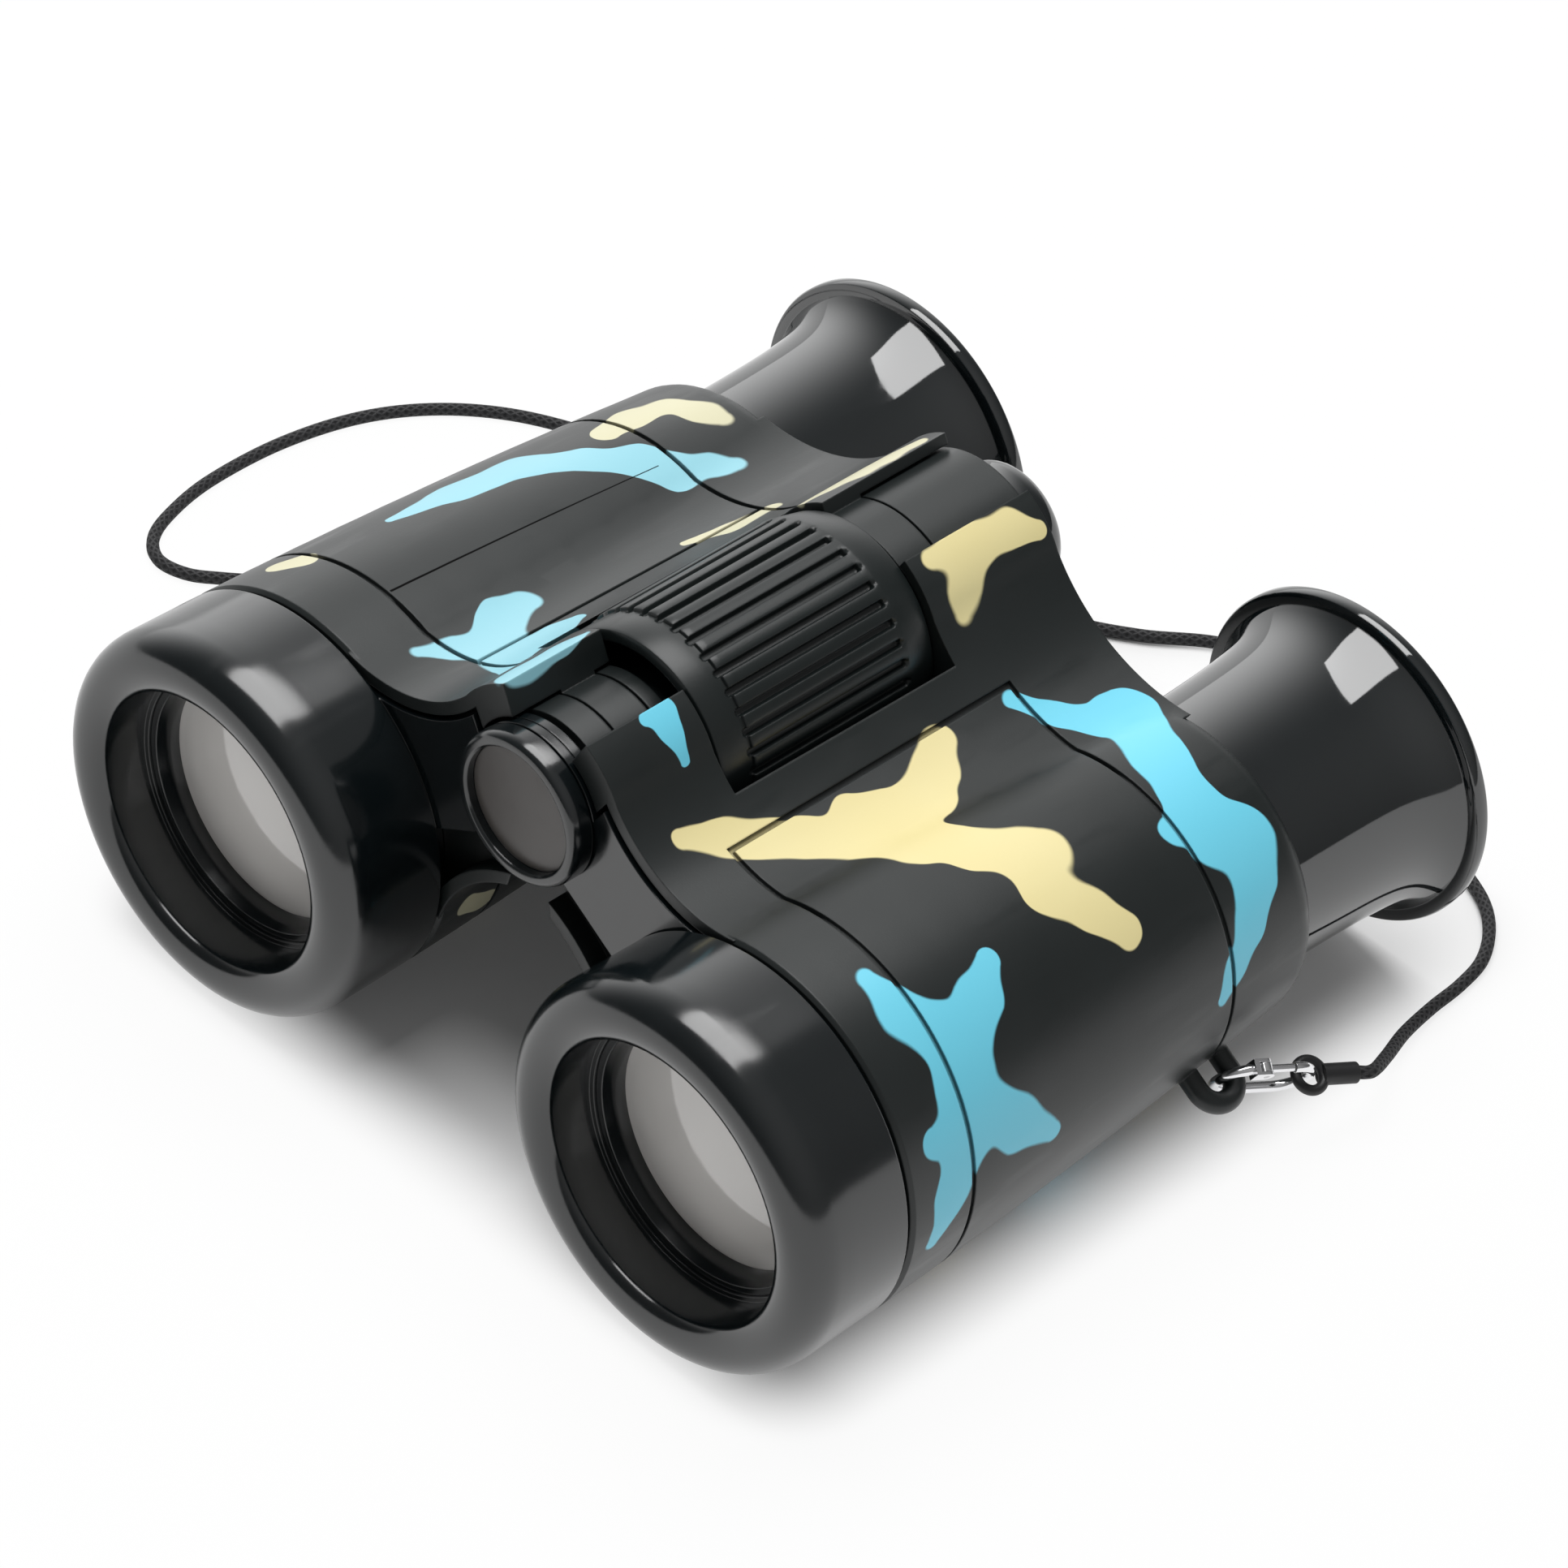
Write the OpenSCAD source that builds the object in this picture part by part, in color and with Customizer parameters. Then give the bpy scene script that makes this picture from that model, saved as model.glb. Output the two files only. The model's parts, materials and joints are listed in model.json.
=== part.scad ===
// Toy binoculars: two camouflaged barrels that fold on a centre hinge, a ribbed focus wheel
// that drives both objective tubes, and a neck cord clipped to a strap lug on each barrel.
// Each half is drawn in its flat frame: hinge axis on Y, barrel axis parallel to it at +X,
// seam between body and objective tube at y = 0, eyepieces towards +Y.

/* [Layout] */
// Distance between the two barrel axes as the halves lie
barrel_pitch = 63.8; // [62:0.1:68]
// Height of the hinge axis above the barrel axes
hinge_rise = 19.3; // [18:0.1:21]

/* [Body] */
// Length of a body from its seam to its rear face
body_len = 60; // [58:0.5:64]
// Outer radius of the barrel at the seam
barrel_front_r = 20.7; // [20.4:0.1:21.5]
// Outer radius of the barrel at its rear
barrel_rear_r = 17.1; // [16.6:0.1:18]
// Swelling of the barrel's side over a straight taper
barrel_bulge = 0.45; // [0:0.05:0.8]
// Wall of the barrel behind the objective sleeve
barrel_wall = 2.6; // [2.3:0.1:3]
// Axial length of the rounded rear shoulder
shoulder_len = 2.4; // [1.5:0.1:3]
// Depth of the rounded rear shoulder
shoulder_drop = 1.6; // [1:0.1:2]
// Thickness of the wall that holds the eyepiece
rear_wall = 5; // [3:0.5:7]
// Radius of the hollow between barrel and hinge, at the seam
hollow_front_r = 16; // [14:0.5:18]
// Radius of the hollow between barrel and hinge, at the rear
hollow_rear_r = 21; // [19:0.5:23]

/* [Panel grooves] */
// Distance from the seam to the front groove
groove_front = 8.5; // [7:0.1:11]
// Distance from the seam to the rear groove
groove_rear = 47; // [45:0.1:50]
// Distance from the hinge axis to the lengthwise groove
groove_x = 14.6; // [14:0.1:16]
// Distance from the hinge axis to the left body's second lengthwise groove
groove_hinge_x = 8; // [7.5:0.1:10]
// Width of a groove
groove_w = 0.6; // [0.4:0.1:0.9]
// Depth of a groove
groove_d = 0.45; // [0.3:0.05:0.7]

/* [Hinge] */
// Radius of the wings that wrap the hinge
wing_r = 12; // [11.5:0.1:12.5]
// Angle from the web's middle to the wing's upper edge
wing_top = 93; // [90:1:98]
// Angle from the web's middle to the wing's lower edge
wing_bottom = 46; // [40:1:48]
// Radius of a knuckle in front of the wheel
knuckle_r = 8.2; // [7.8:0.1:8.6]
// Radius of a knuckle behind the wheel
rear_knuckle_r = 10.4; // [9.8:0.1:10.8]
// Gap between a wing and the other half's knuckles
wing_gap = 0.4; // [0.3:0.05:0.6]
// Endwise gap between two knuckles
knuckle_gap = 0.3; // [0.2:0.05:0.5]
// Length of the right half's first knuckle
knuckle_1 = 3.4; // [3:0.1:4]
// Length of the left half's front knuckle
knuckle_2 = 4.4; // [4:0.1:5]
// Length of the right half's second knuckle
knuckle_3 = 1.7; // [1.5:0.1:2]
// Length of the left half's rear knuckle
knuckle_4 = 4.6; // [4:0.1:6]
// Radius of the hollow hinge sleeve
sleeve_pin_r = 5; // [4.6:0.1:5.4]
// Radius of the rear hinge pin
pin_r = 3.5; // [3.2:0.1:4]
// Radius of the rear cap where it meets the body
rear_cap_r = 8.2; // [7.8:0.1:8.6]
// Length of the rear cap
rear_cap_len = 6; // [5:0.1:7]

/* [Focus wheel] */
// Radius over the ribs
wheel_r = 12.3; // [12:0.1:12.6]
// Length of the wheel
wheel_len = 29.2; // [28:0.1:30]
// Length of the ribs
rib_len = 20.8; // [19:0.1:22]
// Length of the smooth band in front of the ribs
wheel_band = 4; // [3:0.1:5]
// Number of ribs
rib_count = 36; // [24:1:40]
// Width of the furrow between two ribs
furrow_w = 0.7; // [0.5:0.05:0.9]
// Depth of the furrow between two ribs
furrow_d = 0.6; // [0.4:0.05:0.7]
// Height of the ribs over the front band
rib_rise = 0.4; // [0.3:0.05:0.5]
// Depth of the hollow in the wheel's front
dish_depth = 8; // [6:0.5:9]
// Gap between the wheel and the wall of its well
well_gap = 1.6; // [1.3:0.1:1.9]
// Endwise gap between the wheel and its well
wheel_end_gap = 0.4; // [0.3:0.05:0.6]
// Radius of the focus screw
screw_r = 3; // [2.8:0.1:3.2]
// Forward travel of the objective tubes
focus_travel = 5; // [4:0.5:6]

/* [Objective tubes] */
// Length of a tube in front of the seam
rim_len = 13.6; // [12.5:0.1:14.5]
// Swelling of the rim over the barrel's radius
rim_swell = 0.2; // [0:0.05:0.4]
// Length of the rim's rounded front
rim_round = 4; // [3:0.1:4.5]
// Radius of the rim's foremost circle
rim_crown_r = 17.6; // [17:0.1:18.2]
// Radius of the opening
opening_r = 15.05; // [14.8:0.05:15.4]
// Depth from the rim's crown to the opening's edge
opening_set = 1.4; // [1:0.1:1.8]
// Length of the plain bore in front of the retaining ring
bore_len = 4.8; // [4.2:0.1:5.4]
// Radius of the sleeve that slides in the barrel
sleeve_r = 18; // [17.7:0.1:18.2]
// Length of that sleeve behind the seam
sleeve_len = 13; // [12:0.5:15]
// Gap at the seam
seam_gap = 0.3; // [0.2:0.05:0.5]
// Clear radius of the retaining ring
ring_hole_r = 13; // [12.5:0.1:13.4]
// Length of the retaining ring
ring_len = 2.8; // [2.2:0.1:3.2]
// Thickness of the lens at its edge
lens_edge = 1.6; // [1.2:0.1:2]
// Height of the lens's dome
lens_dome = 1.4; // [1:0.1:2]
// Thickness of a bridge arm
arm_t = 2.1; // [1.9:0.1:2.3]
// Drop of the arm's lower edge below the web's middle
arm_drop = 4; // [3:0.1:5]
// Lip of the body round the arm's pocket
lip_wall = 1.4; // [1.2:0.1:1.8]
// Gap between the arm and the lip
arm_gap = 0.5; // [0.4:0.05:0.8]

/* [Front cap] */
// Radius of the cap
cap_r = 8.25; // [7.8:0.05:8.5]
// Length of the cap
cap_len = 2.6; // [2.4:0.1:3.2]
// Radius of the disc let into the cap
disc_r = 6.75; // [6.2:0.05:7]
// Thickness of the disc
disc_t = 0.4; // [0.4:0.1:0.7]
// Depth of the cap's recess
cap_recess = 1.5; // [1:0.1:1.5]

/* [Eyepieces] */
// Length of an eyepiece behind the body
eyepiece_len = 24.4; // [23:0.1:26]
// Radius of the eyepiece tube at the body
eyepiece_r = 14.5; // [14:0.1:15]
// Radius of the tube where it starts to flare
flare_r = 15.6; // [15.2:0.1:16]
// Radius of the eyecup's flange
flange_r = 18.3; // [17.8:0.1:19]
// Thickness of the flange
flange_t = 1.7; // [1.4:0.1:2.2]
// Length of the flare under the flange
flare_len = 3.2; // [2.5:0.1:4]
// Radius of the spigot glued into the body
spigot_r = 13; // [12.5:0.1:13.4]
// Length of the spigot
spigot_len = 8; // [6:0.5:10]
// Radius of the eye lens seat
eye_seat_r = 10.2; // [9.8:0.1:10.6]
// Distance from the eyecup's rear to the retaining ring
eye_set = 7; // [6:0.1:8]
// Thickness of the eye lens at its edge
eye_lens_t = 2; // [1.6:0.1:2.4]
// Length of the eye lens's ring
eye_ring_len = 2.2; // [1.8:0.1:2.6]
// Clear radius of the eye lens's ring
eye_hole_r = 8.8; // [8.4:0.1:9.2]

/* [Strap lug and clip] */
// Distance from the seam to the lug
lug_y = 47.2; // [44:0.1:49]
// Reach of the lug from the barrel axis
lug_reach = 23.6; // [23:0.1:25]
// Radius of the lug's bar
lug_bar = 1.15; // [1:0.05:1.2]
// Radius of the lug's bend at the middle of its bar
lug_bend = 2.3; // [2.2:0.05:2.6]
// Radius of the clip's wire
wire_r = 0.55; // [0.45:0.05:0.6]
// Length of the clip
clip_len = 11.5; // [11:0.1:13]
// Width of the clip
clip_w = 6.6; // [6.2:0.1:7]
// Gap between the clip and the lug's bar
hook_gap = 0.25; // [0.15:0.05:0.3]
// Direction in which the right clip lies, from straight out
right_clip_turn = 65; // [50:1:80]
// Direction in which the left clip lies, from straight out
left_clip_turn = -15; // [-30:1:0]
// Length of the clip's gate
gate_len = 3.3; // [3:0.05:3.4]
// Radius of the gate's pin
gate_pin_r = 0.3; // [0.25:0.01:0.32]

/* [Neck cord] */
// Radius of the cord
cord_r = 0.7; // [0.5:0.05:0.9]
// Radius of the eye at the cord's end
eye_r = 1.6; // [1.5:0.05:1.8]
// Length of the crimp on the cord's end
crimp_len = 4; // [3:0.1:5]
// Radius of the crimp
crimp_r = 1.1; // [1:0.05:1.3]

/* [Clearances] */
// Radial clearance of a turning or sliding fit
run_gap = 0.05; // [0.02:0.01:0.08]
// Radial clearance of a glued or pushed-in fit
seat_gap = 0.03; // [0.01:0.01:0.05]

/* [Hidden] */
$fn = 96;
over = 1;

hinge_arm = norm([barrel_pitch/2, hinge_rise]);
rest_tilt = atan2(hinge_rise, barrel_pitch/2);
rim_r = barrel_front_r + rim_swell;
hinge_z = rim_r + hinge_rise;
seam_y = (rim_len - body_len - eyepiece_len)/2;

// Places along the hinge, measured from the seam
arm_front = -seam_gap;
arm_back = arm_front + arm_t;
pocket_back = arm_back + arm_gap;
hub_split = (arm_front + arm_back)/2;
hub_play = 0.05;
knuckle_1_y = pocket_back + knuckle_gap;
knuckle_2_y = knuckle_1_y + knuckle_1 + knuckle_gap;
knuckle_3_y = knuckle_2_y + knuckle_2 + knuckle_gap;
well_front = knuckle_3_y + knuckle_3;
wheel_y = well_front + wheel_end_gap;
well_rear = wheel_y + wheel_len + wheel_end_gap;
knuckle_4_y = well_rear + knuckle_gap;
knuckle_5_y = knuckle_4_y + knuckle_4 + knuckle_gap;
right_knuckles = [
    [knuckle_1_y, knuckle_1_y + knuckle_1, knuckle_r],
    [knuckle_3_y, well_front, knuckle_r],
    [knuckle_5_y, body_len, rear_knuckle_r]];
left_knuckles = [
    [knuckle_2_y, knuckle_2_y + knuckle_2, knuckle_r],
    [knuckle_4_y, knuckle_4_y + knuckle_4, rear_knuckle_r]];
wing_inner_r = knuckle_r + wing_gap;
well_r = wheel_r + well_gap;

// Hinge and screw pieces
journal_len = 3.3;
pin_nose = 3.8;
sleeve_pin_end = wheel_y + journal_len;
pin_front = wheel_y + wheel_len - pin_nose;
screw_nose = 0.9;
screw_tail = 9;
screw_len = sleeve_pin_end + focus_travel + screw_tail;
collar_r = 4.2;
collar_t = 0.4;
cap_front = arm_front - hub_play - cap_len;

// Objective seats, measured from the seam
opening_y = -rim_len + opening_set;
ring_y = opening_y + bore_len;
lens_y = ring_y + ring_len;
ledge_y = lens_y + lens_edge;
seat_step = 0.6;
lens_seat_r = opening_r - seat_step;
ring_set = 0.3;
throat_r = ring_hole_r + 0.2;

// Eyepiece seats, measured from the seam
rear_y = body_len + eyepiece_len;
eye_ring_y = rear_y - eye_set - eye_ring_len;
eye_lens_y = eye_ring_y - eye_lens_t;
eye_throat_r = eye_hole_r - 0.2;
flange_y = rear_y - flange_t;
flare_y = flange_y - flare_len;

// Strap lug, clip and cord ends, in the flat frame
lug_bend_r = lug_reach - lug_bar - lug_bend;
lug_root_r = barrel_rear_r - 0.5;
hook_r = lug_bend - lug_bar - hook_gap - wire_r;
clip_end_r = clip_w/2 - wire_r;
clip_run = clip_len - 2*wire_r;
gate_x = clip_end_r + 1.2;
gate_eye_r = 0.8;
gate_t = 0.9;
gate_r = 0.4;
ear_t = 0.35;
ear_gap = 0.05;
head_len = 1.45;
slot_back = 0.15;
nose_gap = 0.15;
eye_play = 0.35;
eye_at = clip_run + eye_play;
crimp_at = eye_r - 0.3;
cord_at = eye_at + crimp_at + crimp_len;

// Route of the cord over the floor between its two ends, chosen by hand
cord_route = [
    [54, 33, 4.4], [51.5, 39, 2.2], [50, 45, 0.9], [49.5, 50, 0.7], [48.5, 54.5, 0.7],
    [46, 58.5, 0.7], [42.5, 61.5, 0.7], [37, 64, 0.7], [30, 67.5, 0.7], [22, 71.5, 0.7],
    [13, 74.5, 0.7], [4, 74, 0.7], [-3, 70, 0.7], [-9, 64.5, 0.7], [-16, 60, 0.7],
    [-26, 56.5, 0.7], [-37, 53.5, 0.7], [-48, 50.5, 0.7], [-60, 46.5, 0.7], [-70, 42.5, 0.7],
    [-78, 38, 0.7], [-84, 32, 0.7], [-88, 24.5, 0.7], [-90, 15, 0.7], [-90, 5, 0.7],
    [-88.5, -2, 0.7], [-86.5, -6, 0.7], [-83.5, -7.8, 0.7], [-80, -7, 0.7], [-77, -4.5, 0.7],
    [-73.5, -1, 0.7], [-70, 2.5, 0.7], [-67, 5.5, 0.9]];
cord_sides = 8;
cord_rings = 80;

function unit(v) = v/norm(v);

// Radius of the barrel at a distance from the seam
function barrel_r(y) = let (t = y/body_len)
    barrel_front_r + (barrel_rear_r - barrel_front_r)*t + 4*barrel_bulge*t*(1 - t);

// Points of a quarter ellipse from the first radius direction to the second
function quarter(centre, a, b, steps = 8) =
    [for (i = [0:steps]) let (t = 90*i/steps) centre + a*cos(t) + b*sin(t)];

// Centre of the round hollow that just bites into the wing and the barrel
bite = 0.15;
function hollow_centre(barrel, hollow) = let (
    p = wing_r + hollow - bite,
    q = barrel + hollow - bite,
    angle = acos((p*p + hinge_arm*hinge_arm - q*q)/(2*p*hinge_arm)))
    [p*cos(angle), p*sin(angle)];
hollow_front = hollow_centre(barrel_front_r, hollow_front_r);
hollow_rear = hollow_centre(barrel_rear_r, hollow_rear_r);
function hollow_at(y) = hollow_front + (hollow_rear - hollow_front)*y/body_len;
function hollow_r(y) = hollow_front_r + (hollow_rear_r - hollow_front_r)*y/body_len;

// Flat-frame and clip-frame points carried to the resting right or left half
function rest_point(p, side) = let (c = cos(rest_tilt), s = sin(rest_tilt))
    [side*(p.x*c + p.z*s), seam_y + p.y, hinge_z - p.x*s + p.z*c];
function clip_point(along, turn) = [
    hinge_arm + lug_bend_r + (hook_r + along)*cos(turn),
    lug_y + (hook_r + along)*sin(turn),
    0];

// Places a half, the clip on its lug, and solids along the hinge axis
module half(side) {
    translate([0, seam_y, hinge_z])
        mirror([side < 0 ? 1 : 0, 0, 0])
            rotate([0, rest_tilt, 0])
                children();
}
module clip_frame(turn) {
    translate(clip_point(0, turn))
        rotate([0, 0, turn])
            rotate([90, 0, 0])
                children();
}
module hinge_frame() {
    translate([0, seam_y, hinge_z]) children();
}
module on_barrel() {
    translate([hinge_arm, 0, 0]) children();
}

// Extrudes an outline of the cross-section, and turns a profile of radius and distance
module along_y(from, to) {
    translate([0, to, 0])
        rotate([90, 0, 0])
            linear_extrude(to - from)
                children();
}
module rod_y(r, from, to) {
    translate([0, from, 0])
        rotate([-90, 0, 0])
            cylinder(r = r, h = to - from);
}
module turned(profile) {
    rotate([-90, 0, 0])
        rotate_extrude()
            polygon(profile);
}
module cone_between(p, q, r1, r2) {
    d = q - p;
    translate(p)
        rotate([0, acos(d.z/norm(d)), atan2(d.y, d.x)])
            cylinder(h = norm(d), r1 = r1, r2 = r2);
}

// Web between barrel and hinge over a length of the body, hollowed above and below;
// its side walls end inside the wing and the barrel
web_h = 1.5*wing_r;
function wing_edge_x(y) = wing_r*unit(hollow_at(y)).x;
function barrel_edge_x(y) = let (
    taper_r = barrel_front_r + (barrel_rear_r - barrel_front_r)*y/body_len)
    hinge_arm + taper_r*unit(hollow_at(y) - [hinge_arm, 0]).x;
module web(from, to, inset = 0, side = 0, below = web_h) {
    difference() {
        translate([0, 0, -below])
            linear_extrude(below + web_h)
                polygon([
                    [wing_edge_x(from) + side, from], [barrel_edge_x(from) - side, from],
                    [barrel_edge_x(to) - side, to], [wing_edge_x(to) + side, to]]);
        for (m = [0, 1])
            mirror([0, 0, m])
                hollow_cut(inset);
    }
}
module hollow_cut(inset) {
    run_out = 6;
    a = -run_out;
    b = body_len + run_out;
    pa = hollow_at(a);
    pb = hollow_at(b);
    cone_between([pa.x, a, pa.y], [pb.x, b, pb.y], hollow_r(a) + inset, hollow_r(b) + inset);
}

// Barrel with its bulged taper, rear shoulder and panel grooves
module barrel() {
    bands = 10;
    shoulder_y = body_len - shoulder_len;
    shoulder_r = barrel_r(shoulder_y);
    edge = 0.4;
    difference() {
        turned(concat(
            [[0, 0], [barrel_front_r - edge, 0]],
            [for (i = [0:bands]) let (y = edge + (shoulder_y - edge)*i/bands) [barrel_r(y), y]],
            [for (p = quarter([shoulder_r - shoulder_drop, shoulder_y],
                    [shoulder_drop, 0], [0, shoulder_len], 5)) if (p.y > shoulder_y + 0.01) p],
            [[0, body_len]]));
        for (y = [groove_front, groove_rear])
            turned([
                [barrel_r(y) - groove_d, y - groove_w/2], [barrel_front_r + over, y - groove_w/2],
                [barrel_front_r + over, y + groove_w/2], [barrel_r(y) - groove_d, y + groove_w/2]]);
    }
}
module barrel_bore() {
    step_y = sleeve_len + over;
    wall_y = body_len - rear_wall;
    bore_r = sleeve_r + run_gap;
    turned([
        [0, -over], [bore_r, -over], [bore_r, step_y],
        [barrel_r(step_y) - barrel_wall, step_y], [barrel_r(wall_y) - barrel_wall, wall_y],
        [spigot_r + seat_gap, wall_y], [spigot_r + seat_gap, body_len + over], [0, body_len + over]]);
}

// Panel grooves where they cross the hollow, and the grooves along it
module hollow_grooves(lengthwise) {
    inner = min(lengthwise) - groove_w/2;
    for (m = [0, 1])
        mirror([0, 0, m]) {
            for (y = [groove_front, groove_rear])
                intersection() {
                    translate([hollow_at(y).x, 0, hollow_at(y).y])
                        rod_y(hollow_r(y) + groove_d, y - groove_w/2, y + groove_w/2);
                    translate([inner, 0, 0])
                        cube([hinge_arm - inner, body_len, wing_r + hollow_front_r]);
                }
            for (x = lengthwise)
                lengthwise_groove(x);
        }
}
function hollow_floor(x, y) = hollow_at(y).y
    - sqrt(pow(hollow_r(y), 2) - pow(x - hollow_at(y).x, 2));
module lengthwise_groove(x) {
    front_z = hollow_floor(x, groove_front) - groove_d;
    rear_z = hollow_floor(x, groove_rear) - groove_d;
    translate([x - groove_w/2, 0, 0])
        rotate([90, 0, 90])
            linear_extrude(groove_w)
                polygon([
                    [groove_front, front_z], [groove_rear, rear_z],
                    [groove_rear, wing_r + over], [groove_front, wing_r + over]]);
}

// Strap lug: a bar bent into a loop opposite the hinge
module strap_lug() {
    on_barrel() {
        for (m = [-1, 1])
            translate([lug_root_r, lug_y + m*lug_bend, 0])
                rotate([0, 90, 0])
                    cylinder(r = lug_bar, h = lug_bend_r - lug_root_r);
        translate([lug_bend_r, lug_y, 0])
            rotate([0, 0, -90])
                rotate_extrude(angle = 180)
                    translate([lug_bend, 0])
                        circle(lug_bar);
    }
}

// Space that belongs to the other half, seen from the hinge axis
module other_side() {
    far = 2*wing_r;
    along_y(-over, body_len + over)
        polygon([
            [0, 0], far*[cos(wing_top), sin(wing_top)], [-far, far], [-far, -far],
            far*[cos(wing_bottom), -sin(wing_bottom)]]);
}

// One half's moulding in its flat frame
module body(own, other, lengthwise, sleeve_gap, pin_gap) {
    difference() {
        union() {
            on_barrel() barrel();
            difference() {
                union() {
                    web(0, body_len);
                    rod_y(wing_r, 0, body_len);
                }
                other_side();
                rod_y(well_r, well_front, well_rear);
                rod_y(wing_inner_r, -over, pocket_back);
                for (zone = other)
                    rod_y(zone[2] + wing_gap, zone[0] - knuckle_gap, zone[1] + knuckle_gap);
            }
            for (zone = own)
                rod_y(zone[2], zone[0], zone[1]);
            strap_lug();
        }
        on_barrel() barrel_bore();
        arm_pocket();
        hollow_grooves(lengthwise);
        rod_y(sleeve_pin_r + sleeve_gap, -over, well_front + over);
        rod_y(pin_r + pin_gap, well_rear - over, body_len + over);
    }
}
module arm_pocket() {
    web(-over, pocket_back, lip_wall);
}

// Objective tube: rim, sliding sleeve and the bridge arm that ends in a hub on the screw
module objective_tube(hub_from, hub_to, clear_from, clear_to, screw_gap) {
    edge = 0.4;
    sleeve_wall = 1.5;
    difference() {
        union() {
            on_barrel()
                turned(concat(
                    [[0, sleeve_len], [sleeve_r, sleeve_len], [sleeve_r, arm_front],
                        [barrel_front_r - edge, arm_front], [barrel_front_r, arm_front - edge]],
                    quarter([rim_crown_r, rim_round - rim_len],
                        [rim_r - rim_crown_r, 0], [0, -rim_round]),
                    [for (p = quarter([rim_crown_r, opening_y], [0, -opening_set],
                            [opening_r - rim_crown_r, 0], 6)) if (p.x < rim_crown_r - 0.01) p],
                    [[0, opening_y]]));
            difference() {
                bridge_arm();
                rod_y(wing_inner_r, clear_from, clear_to);
            }
            rod_y(knuckle_r, hub_from, hub_to);
        }
        on_barrel()
            turned([
                [0, -rim_len - over], [opening_r, -rim_len - over], [opening_r, ring_y],
                [lens_seat_r, ring_y], [lens_seat_r, ledge_y], [throat_r, ledge_y],
                [throat_r, ledge_y + sleeve_wall], [sleeve_r - sleeve_wall, ledge_y + 2*sleeve_wall],
                [sleeve_r - sleeve_wall, sleeve_len + over], [0, sleeve_len + over]]);
        rod_y(screw_r + screw_gap, arm_front - over, arm_back + over);
    }
}
module bridge_arm() {
    web(arm_front, arm_back, lip_wall + arm_gap, arm_gap, arm_drop);
}

// Lens with a domed front, and the ring that holds it
module objective_lens() {
    steps = 8;
    dome_r = ring_hole_r - 0.3;
    disc_edge_r = lens_seat_r - seat_gap;
    on_barrel()
        turned(concat(
            [[0, ledge_y], [disc_edge_r, ledge_y], [disc_edge_r, lens_y]],
            [for (i = [0:steps]) let (t = 1 - i/steps) [dome_r*t, lens_y - lens_dome*(1 - t*t)]]));
}
module objective_ring() {
    step = 0.8;
    ring_front = ring_y + ring_set;
    on_barrel()
        turned([
            [ring_hole_r, lens_y], [ring_hole_r, lens_y - step], [lens_seat_r - step, ring_front],
            [lens_seat_r - seat_gap, ring_front], [lens_seat_r - seat_gap, lens_y]]);
}

// Eyepiece: spigot, flaring tube and eyecup flange
module eyepiece() {
    steps = 6;
    edge = 0.4;
    cup_r = flange_r - 1.4;
    root_r = flange_r - 0.9;
    on_barrel()
        difference() {
            turned(concat(
                [[0, body_len - spigot_len], [spigot_r, body_len - spigot_len], [spigot_r, body_len]],
                [for (i = [0:steps]) let (t = i/steps)
                    [eyepiece_r + (flare_r - eyepiece_r)*t*t, body_len + (flare_y - body_len)*t]],
                [for (p = quarter([root_r, flare_y], [flare_r - root_r, 0], [0, flare_len], 6))
                    if (p.y > flare_y + 0.01) p],
                [[flange_r - edge, flange_y], [flange_r, flange_y + edge], [flange_r, rear_y - edge],
                    [flange_r - edge, rear_y], [0, rear_y]]));
            turned([
                [0, body_len - spigot_len - over], [eye_throat_r, body_len - spigot_len - over],
                [eye_throat_r, eye_lens_y], [eye_seat_r, eye_lens_y], [eye_seat_r, rear_y - eye_set],
                [cup_r, rear_y], [cup_r, rear_y + over], [0, rear_y + over]]);
        }
}
module eye_lens() {
    steps = 8;
    sag = 0.9;
    dish_r = eye_hole_r - 0.4;
    disc_edge_r = eye_seat_r - seat_gap;
    on_barrel()
        turned(concat(
            [[0, eye_lens_y], [disc_edge_r, eye_lens_y], [disc_edge_r, eye_ring_y]],
            [for (i = [0:steps]) let (t = 1 - i/steps) [dish_r*t, eye_ring_y - sag*(1 - t*t)]]));
}
module eye_ring() {
    bevel = 0.9;
    ring_end = eye_ring_y + eye_ring_len;
    on_barrel()
        turned([
            [eye_hole_r, eye_ring_y], [eye_hole_r, ring_end - bevel], [eye_hole_r + bevel, ring_end],
            [eye_seat_r - seat_gap, ring_end], [eye_seat_r - seat_gap, eye_ring_y]]);
}

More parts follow.
